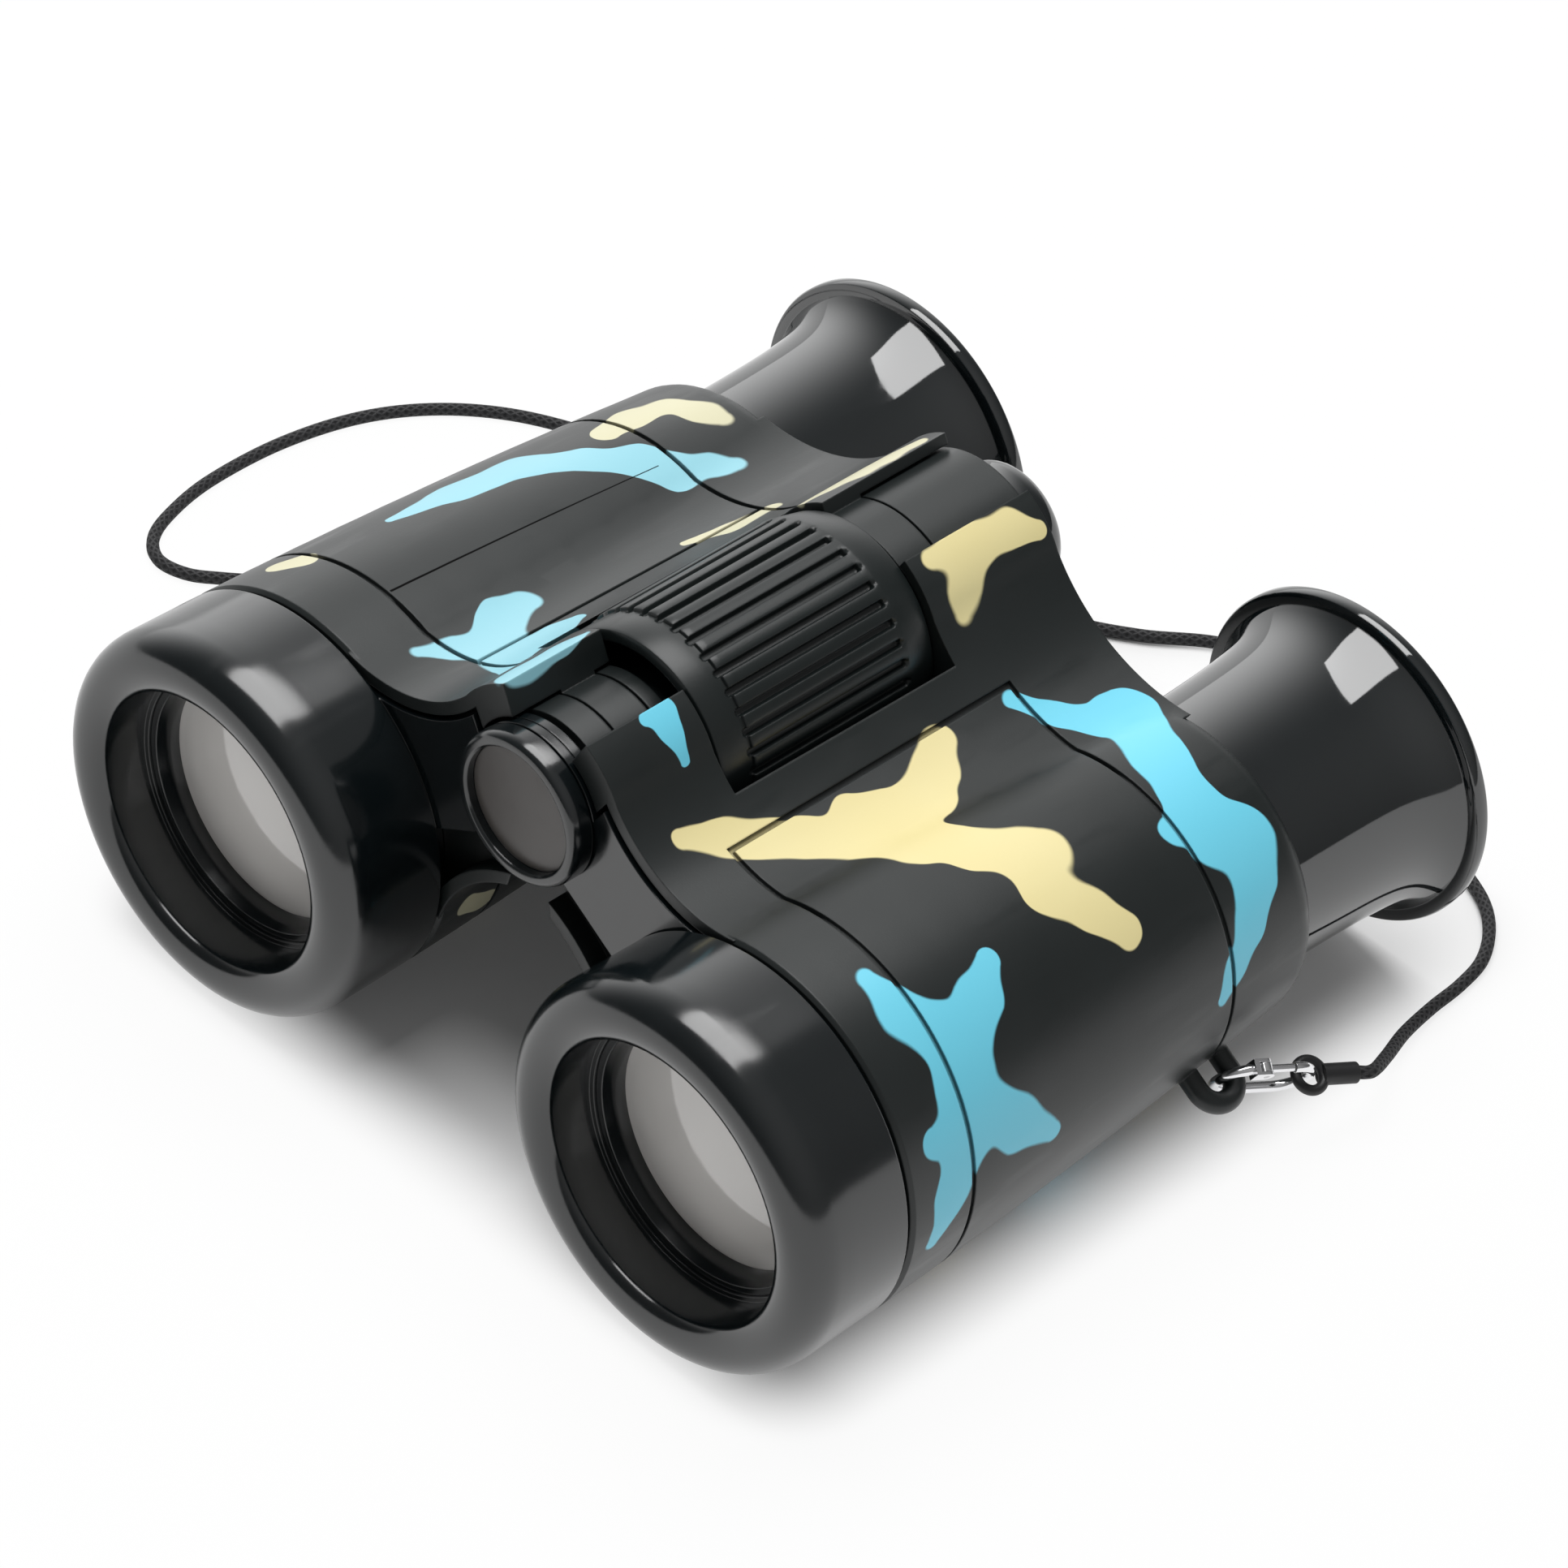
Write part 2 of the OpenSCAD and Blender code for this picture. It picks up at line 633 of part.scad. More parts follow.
// Focus wheel: ribbed drum with a hollow front, journals at both ends and the nut between
module focus_wheel_form() {
    edge = 0.6;
    rib_edge = 0.3;
    bore_play = 0.3;
    comb = 0.5;
    hub_r = sleeve_pin_r + 1.6;
    band_r = wheel_r - rib_rise;
    rear_band_r = band_r - 0.35;
    dish_r = band_r - 1.3;
    rib_y = wheel_y + wheel_band;
    rib_end = rib_y + rib_len;
    wheel_end = wheel_y + wheel_len;
    difference() {
        turned([
            [0, wheel_y], [band_r - edge, wheel_y], [band_r, wheel_y + edge], [band_r, rib_y],
            [wheel_r - rib_edge, rib_y], [wheel_r, rib_y + rib_edge], [wheel_r, rib_end + rib_edge],
            [rear_band_r, wheel_end - edge], [rear_band_r - edge, wheel_end], [0, wheel_end]]);
        turned([
            [hub_r, wheel_y - over], [dish_r, wheel_y - over],
            [dish_r - edge, wheel_y + dish_depth], [hub_r, wheel_y + dish_depth]]);
        turned([
            [0, wheel_y - over], [sleeve_pin_r + run_gap, wheel_y - over],
            [sleeve_pin_r + run_gap, sleeve_pin_end + bore_play],
            [screw_r + run_gap, sleeve_pin_end + bore_play],
            [screw_r + run_gap, pin_front - bore_play], [pin_r + run_gap, pin_front - bore_play],
            [pin_r + run_gap, wheel_end + over], [0, wheel_end + over]]);
        for (i = [0:rib_count - 1])
            rotate([0, 360*i/rib_count, 0])
                translate([-furrow_w/2, rib_y - comb, wheel_r - furrow_d])
                    cube([furrow_w, rib_len + comb, 2*furrow_d]);
    }
}

// Wire clip: two bends, a plain side, and a slotted head that carries the gate
module clip_wire() {
    head_r = gate_eye_r;
    head_t = gate_t + 2*(ear_gap + ear_t);
    slot_x = gate_x - gate_eye_r - slot_back;
    far_x = clip_run - clip_end_r;
    nose_x = gate_x + gate_len + nose_gap;
    difference() {
        union() {
            clip_bend(clip_end_r, 90);
            clip_bend(far_x, -90);
            wire_x(clip_end_r, far_x, -clip_end_r);
            wire_x(nose_x, far_x, clip_end_r);
            translate([gate_x - head_len, clip_end_r - head_r, -head_t/2])
                cube([head_len, 2*head_r, head_t]);
            translate([gate_x, clip_end_r, -head_t/2])
                cylinder(r = head_r, h = head_t);
        }
        translate([slot_x, clip_end_r - clip_w/2, -gate_t/2 - ear_gap])
            cube([gate_x + gate_eye_r + nose_gap - slot_x, clip_w, gate_t + 2*ear_gap]);
        translate([gate_x, clip_end_r, -head_t])
            cylinder(r = gate_pin_r + seat_gap/2, h = 2*head_t);
    }
}
module clip_bend(x, turn) {
    translate([x, 0, 0])
        rotate([0, 0, turn])
            rotate_extrude(angle = 180)
                translate([clip_end_r, 0])
                    circle(wire_r);
}
module wire_x(from, to, y) {
    translate([from, y, 0])
        rotate([0, 90, 0])
            cylinder(r = wire_r, h = to - from);
}
module clip_gate() {
    difference() {
        union() {
            translate([gate_x, clip_end_r, -gate_t/2])
                cylinder(r = gate_eye_r, h = gate_t);
            translate([gate_x, clip_end_r, 0])
                rotate([0, 90, 0])
                    cylinder(r = gate_r, h = gate_len);
        }
        translate([gate_x, clip_end_r, -gate_t])
            cylinder(r = gate_pin_r + run_gap, h = 2*gate_t);
    }
}
module gate_pin() {
    pin_t = gate_t + 2*(ear_gap + ear_t);
    translate([gate_x, clip_end_r, -pin_t/2])
        cylinder(r = gate_pin_r, h = pin_t);
}
module cord_end() {
    translate([eye_at, 0, 0]) {
        rotate([90, 0, 0])
            rotate_extrude()
                translate([eye_r, 0])
                    circle(wire_r);
        translate([crimp_at, 0, 0])
            rotate([0, 90, 0])
                cylinder(r = crimp_r, h = crimp_len);
    }
}

// Cord: a round tube swept through its route
lead = 2;
cord_points = concat(
    [rest_point(clip_point(cord_at, right_clip_turn), 1),
        rest_point(clip_point(cord_at + lead, right_clip_turn), 1)],
    cord_route,
    [rest_point(clip_point(cord_at + lead, left_clip_turn), -1),
        rest_point(clip_point(cord_at, left_clip_turn), -1)]);
cord_last = len(cord_points) - 1;
function cord_point(i) = i < 0 ? 2*cord_points[0] - cord_points[1]
    : i > cord_last ? 2*cord_points[cord_last] - cord_points[cord_last - 1] : cord_points[i];
function cord_at_share(share) = let (
    i = min(floor(share*cord_last), cord_last - 1),
    t = share*cord_last - i,
    a = cord_point(i - 1), b = cord_point(i), c = cord_point(i + 1), d = cord_point(i + 2))
    (2*b + (c - a)*t + (2*a - 5*b + 4*c - d)*t*t + (3*b - a - 3*c + d)*t*t*t)/2;
function cord_ring(k) = let (
    share = k/(cord_rings - 1),
    step = 0.001,
    centre = cord_at_share(share),
    ahead = unit(cord_at_share(min(share + step, 1)) - cord_at_share(max(share - step, 0))),
    across = unit(cross(ahead, [0, 0, 1])),
    up = cross(across, ahead))
    [for (j = [0:cord_sides - 1]) let (angle = 360*j/cord_sides)
        centre + cord_r*(sin(angle)*across + cos(angle)*up)];
module swept_cord() {
    last = (cord_rings - 1)*cord_sides;
    polyhedron(
        [for (k = [0:cord_rings - 1]) each cord_ring(k)],
        concat(
            [[for (j = [0:cord_sides - 1]) j]],
            [for (k = [0:cord_rings - 2], j = [0:cord_sides - 1]) let (
                a = k*cord_sides,
                n = (j + 1)%cord_sides)
                [a + j, a + cord_sides + j, a + cord_sides + n, a + n]],
            [[for (j = [0:cord_sides - 1]) last + cord_sides - 1 - j]]));
}

// Colours of the preview
charcoal = [0.2, 0.2, 0.21];
black = [0.08, 0.08, 0.08];
glass = [0.62, 0.6, 0.58];
grey = [0.33, 0.31, 0.3];
steel = [0.8, 0.8, 0.82];

// Right half
module right_body() {
    color(charcoal) half(1) body(right_knuckles, left_knuckles, [groove_x], seat_gap, seat_gap);
}
module right_objective_tube() {
    color(black) half(1) objective_tube(
        arm_front, hub_split - hub_play, hub_split - hub_play, arm_back + over, seat_gap);
}
module right_objective_lens() { color(glass) half(1) objective_lens(); }
module right_objective_ring() { color(black) half(1) objective_ring(); }
module right_eyepiece() { color(black) half(1) eyepiece(); }
module right_eye_lens() { color(glass) half(1) eye_lens(); }
module right_eye_ring() { color(black) half(1) eye_ring(); }
module right_clip() { color(steel) half(1) clip_frame(right_clip_turn) clip_wire(); }
module right_clip_gate() { color(steel) half(1) clip_frame(right_clip_turn) clip_gate(); }
module right_gate_pin() { color(steel) half(1) clip_frame(right_clip_turn) gate_pin(); }
module right_cord_end() { color(black) half(1) clip_frame(right_clip_turn) cord_end(); }

// Left half
module left_body() {
    color(charcoal) half(-1) body(
        left_knuckles, right_knuckles, [groove_x, groove_hinge_x], run_gap, run_gap);
}
module left_objective_tube() {
    color(black) half(-1) objective_tube(
        hub_split + hub_play, arm_back, arm_front - over, hub_split + hub_play, run_gap);
}
module left_objective_lens() { color(glass) half(-1) objective_lens(); }
module left_objective_ring() { color(black) half(-1) objective_ring(); }
module left_eyepiece() { color(black) half(-1) eyepiece(); }
module left_eye_lens() { color(glass) half(-1) eye_lens(); }
module left_eye_ring() { color(black) half(-1) eye_ring(); }
module left_clip() { color(steel) half(-1) clip_frame(left_clip_turn) clip_wire(); }
module left_clip_gate() { color(steel) half(-1) clip_frame(left_clip_turn) clip_gate(); }
module left_gate_pin() { color(steel) half(-1) clip_frame(left_clip_turn) gate_pin(); }
module left_cord_end() { color(black) half(-1) clip_frame(left_clip_turn) cord_end(); }

// Pieces on the hinge axis
module focus_wheel() {
    color(black) hinge_frame() focus_wheel_form();
}
module focus_screw() {
    color(steel) hinge_frame() {
        rod_y(screw_r, arm_front - hub_play - screw_nose, screw_len);
        rod_y(collar_r, arm_back + hub_play, arm_back + hub_play + collar_t);
    }
}
module front_cap() {
    edge = 0.25;
    round_r = 0.8;
    round_len = 1.1;
    cap_back = cap_front + cap_len;
    floor_y = cap_front + cap_recess;
    seat_r = disc_r + seat_gap;
    color(black) hinge_frame()
        difference() {
            turned(concat(
                [[0, cap_back], [cap_r - edge, cap_back], [cap_r, cap_back - edge]],
                quarter([cap_r - round_r, cap_front + round_len], [round_r, 0], [0, -round_len]),
                [[seat_r + edge, cap_front], [seat_r, cap_front + edge], [seat_r, floor_y],
                    [0, floor_y]]));
            rod_y(screw_r + seat_gap, cap_back - screw_nose - seat_gap, cap_back + over);
        }
}
module cap_disc() {
    color(grey) hinge_frame()
        rod_y(disc_r, cap_front + cap_recess - disc_t, cap_front + cap_recess);
}
module hinge_sleeve() {
    color(steel) hinge_frame()
        difference() {
            rod_y(sleeve_pin_r, knuckle_1_y, sleeve_pin_end);
            rod_y(screw_r + run_gap, knuckle_1_y - over, sleeve_pin_end + over);
        }
}
module hinge_pin() {
    color(steel) hinge_frame()
        rod_y(pin_r, pin_front, body_len + rear_cap_len/2);
}
module rear_cap() {
    seat_y = body_len + seat_gap;
    skirt = 0.8;
    taper = 3.2;
    round_r = 2.2;
    color(black) hinge_frame()
        difference() {
            turned(concat(
                [[0, seat_y], [rear_cap_r, seat_y], [rear_cap_r, seat_y + skirt]],
                quarter([rear_cap_r - skirt - round_r, body_len + taper], [round_r, 0],
                    [0, rear_cap_len - taper]),
                [[0, body_len + rear_cap_len]]));
            rod_y(pin_r + seat_gap, body_len - over, body_len + rear_cap_len/2 + seat_gap);
        }
}

// Cord on the floor
module neck_cord() { color(black) swept_cord(); }

right_body();
right_objective_tube();
right_objective_lens();
right_objective_ring();
right_eyepiece();
right_eye_lens();
right_eye_ring();
right_clip();
right_clip_gate();
right_gate_pin();
right_cord_end();
left_body();
left_objective_tube();
left_objective_lens();
left_objective_ring();
left_eyepiece();
left_eye_lens();
left_eye_ring();
left_clip();
left_clip_gate();
left_gate_pin();
left_cord_end();
focus_wheel();
focus_screw();
front_cap();
cap_disc();
hinge_sleeve();
hinge_pin();
rear_cap();
neck_cord();
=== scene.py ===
# %% [markdown]
# Toy binoculars, dressed for a picture.
# The pieces come from a construction model at their real size, in metres, and this lesson gives
# them their finish: painted camouflage, gloss and satin plastic, coated lenses, chrome and cord.
# The construction model stays as it is. A piece that needs a smoother skin gets a copy of its mesh, and
# the axle and the two ends of a round piece are read from its box.

# %% Load the construction model
import json
import math
import bmesh
import bpy
from mathutils import Matrix, Vector
from mathutils.bvhtree import BVHTree


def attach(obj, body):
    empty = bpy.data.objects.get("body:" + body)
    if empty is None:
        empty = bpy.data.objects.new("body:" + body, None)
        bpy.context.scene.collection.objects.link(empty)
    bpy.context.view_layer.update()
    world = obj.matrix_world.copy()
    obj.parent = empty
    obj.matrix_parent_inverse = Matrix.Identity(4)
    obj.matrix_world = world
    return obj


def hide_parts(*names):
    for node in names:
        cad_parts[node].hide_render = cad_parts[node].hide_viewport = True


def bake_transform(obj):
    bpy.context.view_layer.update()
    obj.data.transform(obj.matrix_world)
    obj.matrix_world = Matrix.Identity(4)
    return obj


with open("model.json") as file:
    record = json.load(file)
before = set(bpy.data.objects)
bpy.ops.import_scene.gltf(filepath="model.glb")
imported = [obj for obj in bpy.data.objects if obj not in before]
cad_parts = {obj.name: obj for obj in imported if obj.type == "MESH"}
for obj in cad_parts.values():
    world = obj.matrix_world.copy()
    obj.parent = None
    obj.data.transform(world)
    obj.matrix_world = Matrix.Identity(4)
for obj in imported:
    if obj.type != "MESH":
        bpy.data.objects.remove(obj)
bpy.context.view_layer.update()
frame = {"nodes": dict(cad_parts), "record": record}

scene = bpy.context.scene
scene.view_settings.view_transform = "Standard"
body_of_node = {n: body for body, nodes in frame["record"]["behaviour"]["bodies"].items() for n in nodes}
mm = 0.001


def axle_and_ends(node):
    corners = [Vector(c) for c in frame["nodes"][node].bound_box]
    middle = sum(corners, Vector()) / len(corners)
    return (middle.x, 0, middle.z), min(c.y for c in corners), max(c.y for c in corners)


# %% [markdown]
# The camera stands where the photographer stood: in front, to the right and well above, with a long
# lens that keeps the barrels nearly parallel. A camera could be aimed with a Track To constraint, but
# this one is also rolled a little, so its three axes are worked out and put into its matrix.

# %% Camera
view_azimuth, view_elevation, view_roll = (math.radians(d) for d in (40.97, 41.22, 6.40))
view_aim = Vector((-1.0, 1.0, 20.9)) * mm
view_distance = 777.6 * mm
lens_length, sensor_width = 180.06, 36
view_back = Vector((
    math.sin(view_azimuth) * math.cos(view_elevation),
    -math.cos(view_azimuth) * math.cos(view_elevation),
    math.sin(view_elevation)))
level = Vector((math.cos(view_azimuth), math.sin(view_azimuth), 0))
upright = view_back.cross(level)
view_right = level * math.cos(view_roll) + upright * math.sin(view_roll)
view_up = upright * math.cos(view_roll) - level * math.sin(view_roll)
view_place = view_aim + view_back * view_distance

camera = bpy.data.objects.new("camera", bpy.data.cameras.new("camera"))
scene.collection.objects.link(camera)
camera.data.sensor_width = sensor_width
camera.data.lens = lens_length
camera.data.clip_start, camera.data.clip_end = 0.05, 50
turn = Matrix((view_right, view_up, view_back)).transposed().to_4x4()
camera.matrix_world = Matrix.Translation(view_place) @ turn
scene.camera = camera
print("camera at", [round(x, 3) for x in camera.location])

# %% [markdown]
# A material in Blender is a small network of nodes. Helpers keep the networks short to write: one
# adds a node and fills in its sockets, each with a plain value or another node's output, and one
# starts a group with named inputs and outputs that many materials can share. The others stand for
# the nodes used most: sums, a range turned into another, a mix of two tones, and a bump on edges that
# a Bevel node softens.

# %% Helpers for node networks
bump_depth = 0.02 * mm


def add(tree, kind, inputs=None, **settings):
    node = tree.nodes.new(kind)
    for name, value in settings.items():
        setattr(node, name, value)
    for key, value in (inputs or {}).items():
        if isinstance(value, bpy.types.NodeSocket):
            tree.links.new(value, node.inputs[key])
        else:
            node.inputs[key].default_value = value
    return node


def math_node(tree, operation, *values):
    return add(tree, "ShaderNodeMath", dict(enumerate(values)), operation=operation).outputs[0]


def vector_node(tree, operation, *values, out="Vector"):
    return add(tree, "ShaderNodeVectorMath", dict(enumerate(values)), operation=operation).outputs[out]


def remap(tree, value, old, new, **settings):
    ends = {"From Min": old[0], "From Max": old[1], "To Min": new[0], "To Max": new[1]}
    return add(tree, "ShaderNodeMapRange", {"Value": value, **ends}, **settings).outputs["Result"]


def two_tone(tree, share, first, second):
    return add(tree, "ShaderNodeMix", {0: share, 6: first, 7: second}, data_type="RGBA").outputs[2]


def rounded_bump(tree, height, strength, edge_radius):
    soft_edge = add(tree, "ShaderNodeBevel", {"Radius": edge_radius}, samples=4).outputs["Normal"]
    bump = add(tree, "ShaderNodeBump", {
        "Strength": strength, "Distance": bump_depth, "Height": height, "Normal": soft_edge})
    return bump.outputs["Normal"]


def new_group(name, inputs, outputs, kind="ShaderNodeTree"):
    tree = bpy.data.node_groups.new(name, kind)
    for socket, (socket_kind, value) in inputs.items():
        made = tree.interface.new_socket(socket, in_out="INPUT", socket_type="NodeSocket" + socket_kind)
        if value is not None:
            made.default_value = value
    for socket, socket_kind in outputs.items():
        tree.interface.new_socket(socket, in_out="OUTPUT", socket_type="NodeSocket" + socket_kind)
    return tree, tree.nodes.new("NodeGroupInput").outputs, tree.nodes.new("NodeGroupOutput").inputs


def place_group(tree, group, **inputs):
    values = {key.replace("_", " "): value for key, value in inputs.items()}
    return add(tree, "ShaderNodeGroup", values, node_tree=group).outputs


def new_material(name):
    material = bpy.data.materials.new(name)
    material.use_nodes = True
    return material, material.node_tree, material.node_tree.nodes["Principled BSDF"]


def millimetres(tree):
    place = add(tree, "ShaderNodeTexCoord").outputs["Object"]
    return vector_node(tree, "MULTIPLY", place, (1 / mm,) * 3)


print("helpers ready")

# %% [markdown]
# The object lies on white paper. The paper is a real floor, so it takes the soft shadow. Seen by the
# camera, or in a reflection, it also glows: hardly at all under the object, and more and more within
# a finger's width around it. The far paper is then plain white without stronger lamps, which would
# wash out the paint, and the shadow close by stays dark.

# %% White floor
floor_half = 4.0
paper_tones = (0.90, 0.93)
# In millimetres: the middle and half size of the shaded patch, and the width of the fade round it
shadow_middle, shadow_half, shadow_fade = (0, 12, 0), (40, 50, 1), 14.0
glow_under, glow_around = 0.03, 0.94

floor_mesh = bpy.data.meshes.new("paper_floor")
corners = [(x * floor_half, y * floor_half, 0) for x, y in ((-1, -1), (1, -1), (1, 1), (-1, 1))]
floor_mesh.from_pydata(corners, [], [(0, 1, 2, 3)])
floor = bpy.data.objects.new("paper_floor", floor_mesh)
scene.collection.objects.link(floor)

paper, tree, shader = new_material("white_paper")
shader.inputs["Roughness"].default_value = 0.9
shader.inputs["Specular IOR Level"].default_value = 0.1
place = millimetres(tree)
fibre = add(tree, "ShaderNodeTexNoise", {"Vector": place, "Scale": 0.05, "Detail": 4.0}).outputs["Fac"]
tree.links.new(remap(tree, fibre, (0, 1), paper_tones), shader.inputs["Base Color"])
from_middle = vector_node(tree, "ABSOLUTE", vector_node(tree, "SUBTRACT", place, shadow_middle))
outside = vector_node(tree, "MAXIMUM", vector_node(tree, "SUBTRACT", from_middle, shadow_half), (0, 0, 0))
beyond = vector_node(tree, "LENGTH", outside, out="Value")
glow = remap(tree, beyond, (0, shadow_fade), (glow_under, glow_around), interpolation_type="SMOOTHSTEP")
ray = add(tree, "ShaderNodeLightPath").outputs
bounced = math_node(tree, "MAXIMUM", ray["Is Glossy Ray"], ray["Is Transmission Ray"])
seen = math_node(tree, "MAXIMUM", ray["Is Camera Ray"], bounced)
plain_white = add(tree, "ShaderNodeEmission", {"Color": (1, 1, 1, 1), "Strength": 1.0})
faded = add(tree, "ShaderNodeMixShader", {
    "Fac": math_node(tree, "MULTIPLY", seen, glow), 1: shader.outputs[0], 2: plain_white.outputs[0]})
tree.links.new(faded.outputs[0], tree.nodes["Material Output"].inputs["Surface"])
floor_mesh.materials.append(paper)
print("floor", 2 * floor_half, "m wide")

# %% [markdown]
# Gloss plastic shows what stands around it, and a mirror sends the line of sight on at the same angle,
# so the reflections in the photo say what stood there. Every tube is bright along its left edge and
# darkens to the right, so the cloth of a light tent glows low at the back on the left, and a little on
# the right. The square patch on each eyecup is a large softbox overhead, which is also the main light.
# A panel could stand for the glow too, but it would leave a hard edge in every tube.

# %% Light tent and softbox
tent_dim = 0.08
# Direction, narrowness and amount of each glow: overhead, low at the back on the left, on the right
glows = (((0, 0, 1), 2.0, 0.10), ((-0.80, 0.57, 0.15), 5.0, 1.8), ((0.86, -0.10, 0.50), 2.0, 0.20))
softbox_sides, softbox_watts, softbox_place = (0.587, 0.785), 7.5, (-0.177, 0.0925, 0.85)


def glow_towards(tree, direction, narrowness, amount):
    outlook = add(tree, "ShaderNodeTexCoord").outputs["Generated"]
    towards = vector_node(tree, "DOT_PRODUCT", outlook, Vector(direction).normalized(), out="Value")
    lobe = math_node(tree, "POWER", math_node(tree, "MAXIMUM", towards, 0.0), narrowness)
    return math_node(tree, "MULTIPLY", lobe, amount)


tent = bpy.data.worlds.new("light_tent")
tent.use_nodes = True
scene.world = tent
tree = tent.node_tree
cloth = tent_dim
for direction, narrowness, amount in glows:
    cloth = math_node(tree, "ADD", cloth, glow_towards(tree, direction, narrowness, amount))
ray = add(tree, "ShaderNodeLightPath").outputs
strength = add(tree, "ShaderNodeMix", {0: ray["Is Camera Ray"], 2: cloth, 3: 1.0})
sky = tree.nodes["Background"]
sky.inputs["Color"].default_value = (1, 1, 1, 1)
tree.links.new(strength.outputs[0], sky.inputs["Strength"])

lamp = bpy.data.lights.new("overhead_softbox", "AREA")
lamp.shape = "RECTANGLE"
lamp.size, lamp.size_y = softbox_sides
lamp.energy = softbox_watts
softbox = bpy.data.objects.new("overhead_softbox", lamp)
scene.collection.objects.link(softbox)
softbox.location = softbox_place
print("softbox", softbox_sides, "m,", softbox_watts, "W")

# %% [markdown]
# Moulded plastic is never perfectly even: the mould leaves a fine grain, and the colour drifts a
# little. A bitmap could hold that, but a noise pattern in the piece's own coordinates has no seams
# and no end of detail. The group puts out a height for the bump, and a slow drift for the tone.

# %% Shader group: moulded grain
grain_group, given, result = new_group(
    "moulded grain",
    {"Place": ("Vector", None), "Grain size": ("Float", 0.3), "Drift size": ("Float", 9.0)},
    {"Height": "Float", "Drift": "Float"})
tree = grain_group
fine = add(tree, "ShaderNodeTexNoise", {
    "Vector": given["Place"], "Scale": math_node(tree, "DIVIDE", 1.0, given["Grain size"]), "Detail": 3.0})
slow = add(tree, "ShaderNodeTexNoise", {
    "Vector": given["Place"], "Scale": math_node(tree, "DIVIDE", 1.0, given["Drift size"]), "Detail": 2.0})
tree.links.new(fine.outputs["Fac"], result["Height"])
tree.links.new(slow.outputs["Fac"], result["Drift"])
print("group:", grain_group.name)

# %% [markdown]
# Hands and pockets leave faint rubbed streaks, which show only as a change of gloss. A noise that is
# stretched along the barrels gives long thin patches, and a steep ramp keeps just the strongest.

# %% Shader group: rubbed streaks
streak_start, streak_full = 0.52, 0.72
rub_group, given, result = new_group(
    "rubbed streaks", {"Place": ("Vector", None), "Stretch": ("Vector", (1.0, 0.15, 1.0))}, {"Mask": "Float"})
tree = rub_group
stretched = vector_node(tree, "MULTIPLY", given["Place"], given["Stretch"])
streak = add(tree, "ShaderNodeTexNoise", {"Vector": stretched, "Scale": 0.45, "Detail": 5.0}).outputs["Fac"]
mask = remap(tree, streak, (streak_start, streak_full), (0, 1), interpolation_type="SMOOTHSTEP")
tree.links.new(mask, result["Mask"])
print("group:", rub_group.name)

# %% [markdown]
# The camouflage is sprayed through a mask: flat blotches with arms that end in points. It could be
# painted on an unwrapped image, but then it would be only as sharp as the image. Here each arm is one
# brush stroke in space, from a point to a point, with a radius at each end. The group measures the
# distance to the stroke's edge, below zero inside, and a soft minimum lets it run into the strokes
# before it. Each stroke takes the nearest distance so far and passes it on, and a trace of that
# distance is added to the place, so the strokes are worked out one after the other: many at once
# would not fit into the small memory that the renderer keeps for one surface point.

# %% Shader group: brush stroke
far_away = 1000.0
trace = (1e-9,) * 3
stroke_group, given, result = new_group(
    "brush stroke",
    {"Place": ("Vector", None), "Nearest": ("Float", far_away), "Run together": ("Float", 1.6),
     "From": ("Vector", None), "To": ("Vector", None),
     "From radius": ("Float", 1.0), "To radius": ("Float", 1.0)},
    {"Nearest": "Float"})
tree = stroke_group
here = vector_node(tree, "MULTIPLY_ADD", given["Nearest"], trace, given["Place"])
reach = vector_node(tree, "SUBTRACT", here, given["From"])
line = vector_node(tree, "SUBTRACT", given["To"], given["From"])
reach_on_line = vector_node(tree, "DOT_PRODUCT", reach, line, out="Value")
line_on_line = vector_node(tree, "DOT_PRODUCT", line, line, out="Value")
share = add(tree, "ShaderNodeMath", {0: reach_on_line, 1: line_on_line},
            operation="DIVIDE", use_clamp=True).outputs[0]
along = add(tree, "ShaderNodeVectorMath", {"Vector": line, "Scale": share}, operation="SCALE").outputs[0]
away = vector_node(tree, "DISTANCE", reach, along, out="Value")
growth = math_node(tree, "SUBTRACT", given["To radius"], given["From radius"])
radius = math_node(tree, "MULTIPLY_ADD", share, growth, given["From radius"])
edge = math_node(tree, "SUBTRACT", away, radius)
nearest = math_node(tree, "SMOOTH_MIN", given["Nearest"], edge, given["Run together"])
tree.links.new(nearest, result["Nearest"])
print("group:", stroke_group.name)

# %% [markdown]
# Each blotch below is a line of brush marks. Where the photo shows the surface well, a mark is a point
# of the photo, in pixels to the right and down, and a radius in millimetres. A ray from the camera
# through that point finds its place on the body. On the sides that the photo hides, which are sprayed
# too, and on the wing's thin edge, where such a ray slips past, a mark says how far back it lies, in
# millimetres, how far round the barrel or the hinge, in degrees from the top towards the right, and
# its radius. A ray from outside towards the axle then finds the place. Marks round the hinge are held
# a little off the surface, so that the paint hardly wraps over the wing's edge. The last list is a
# fine line that is scored along the top of the left barrel and runs out in the blue.

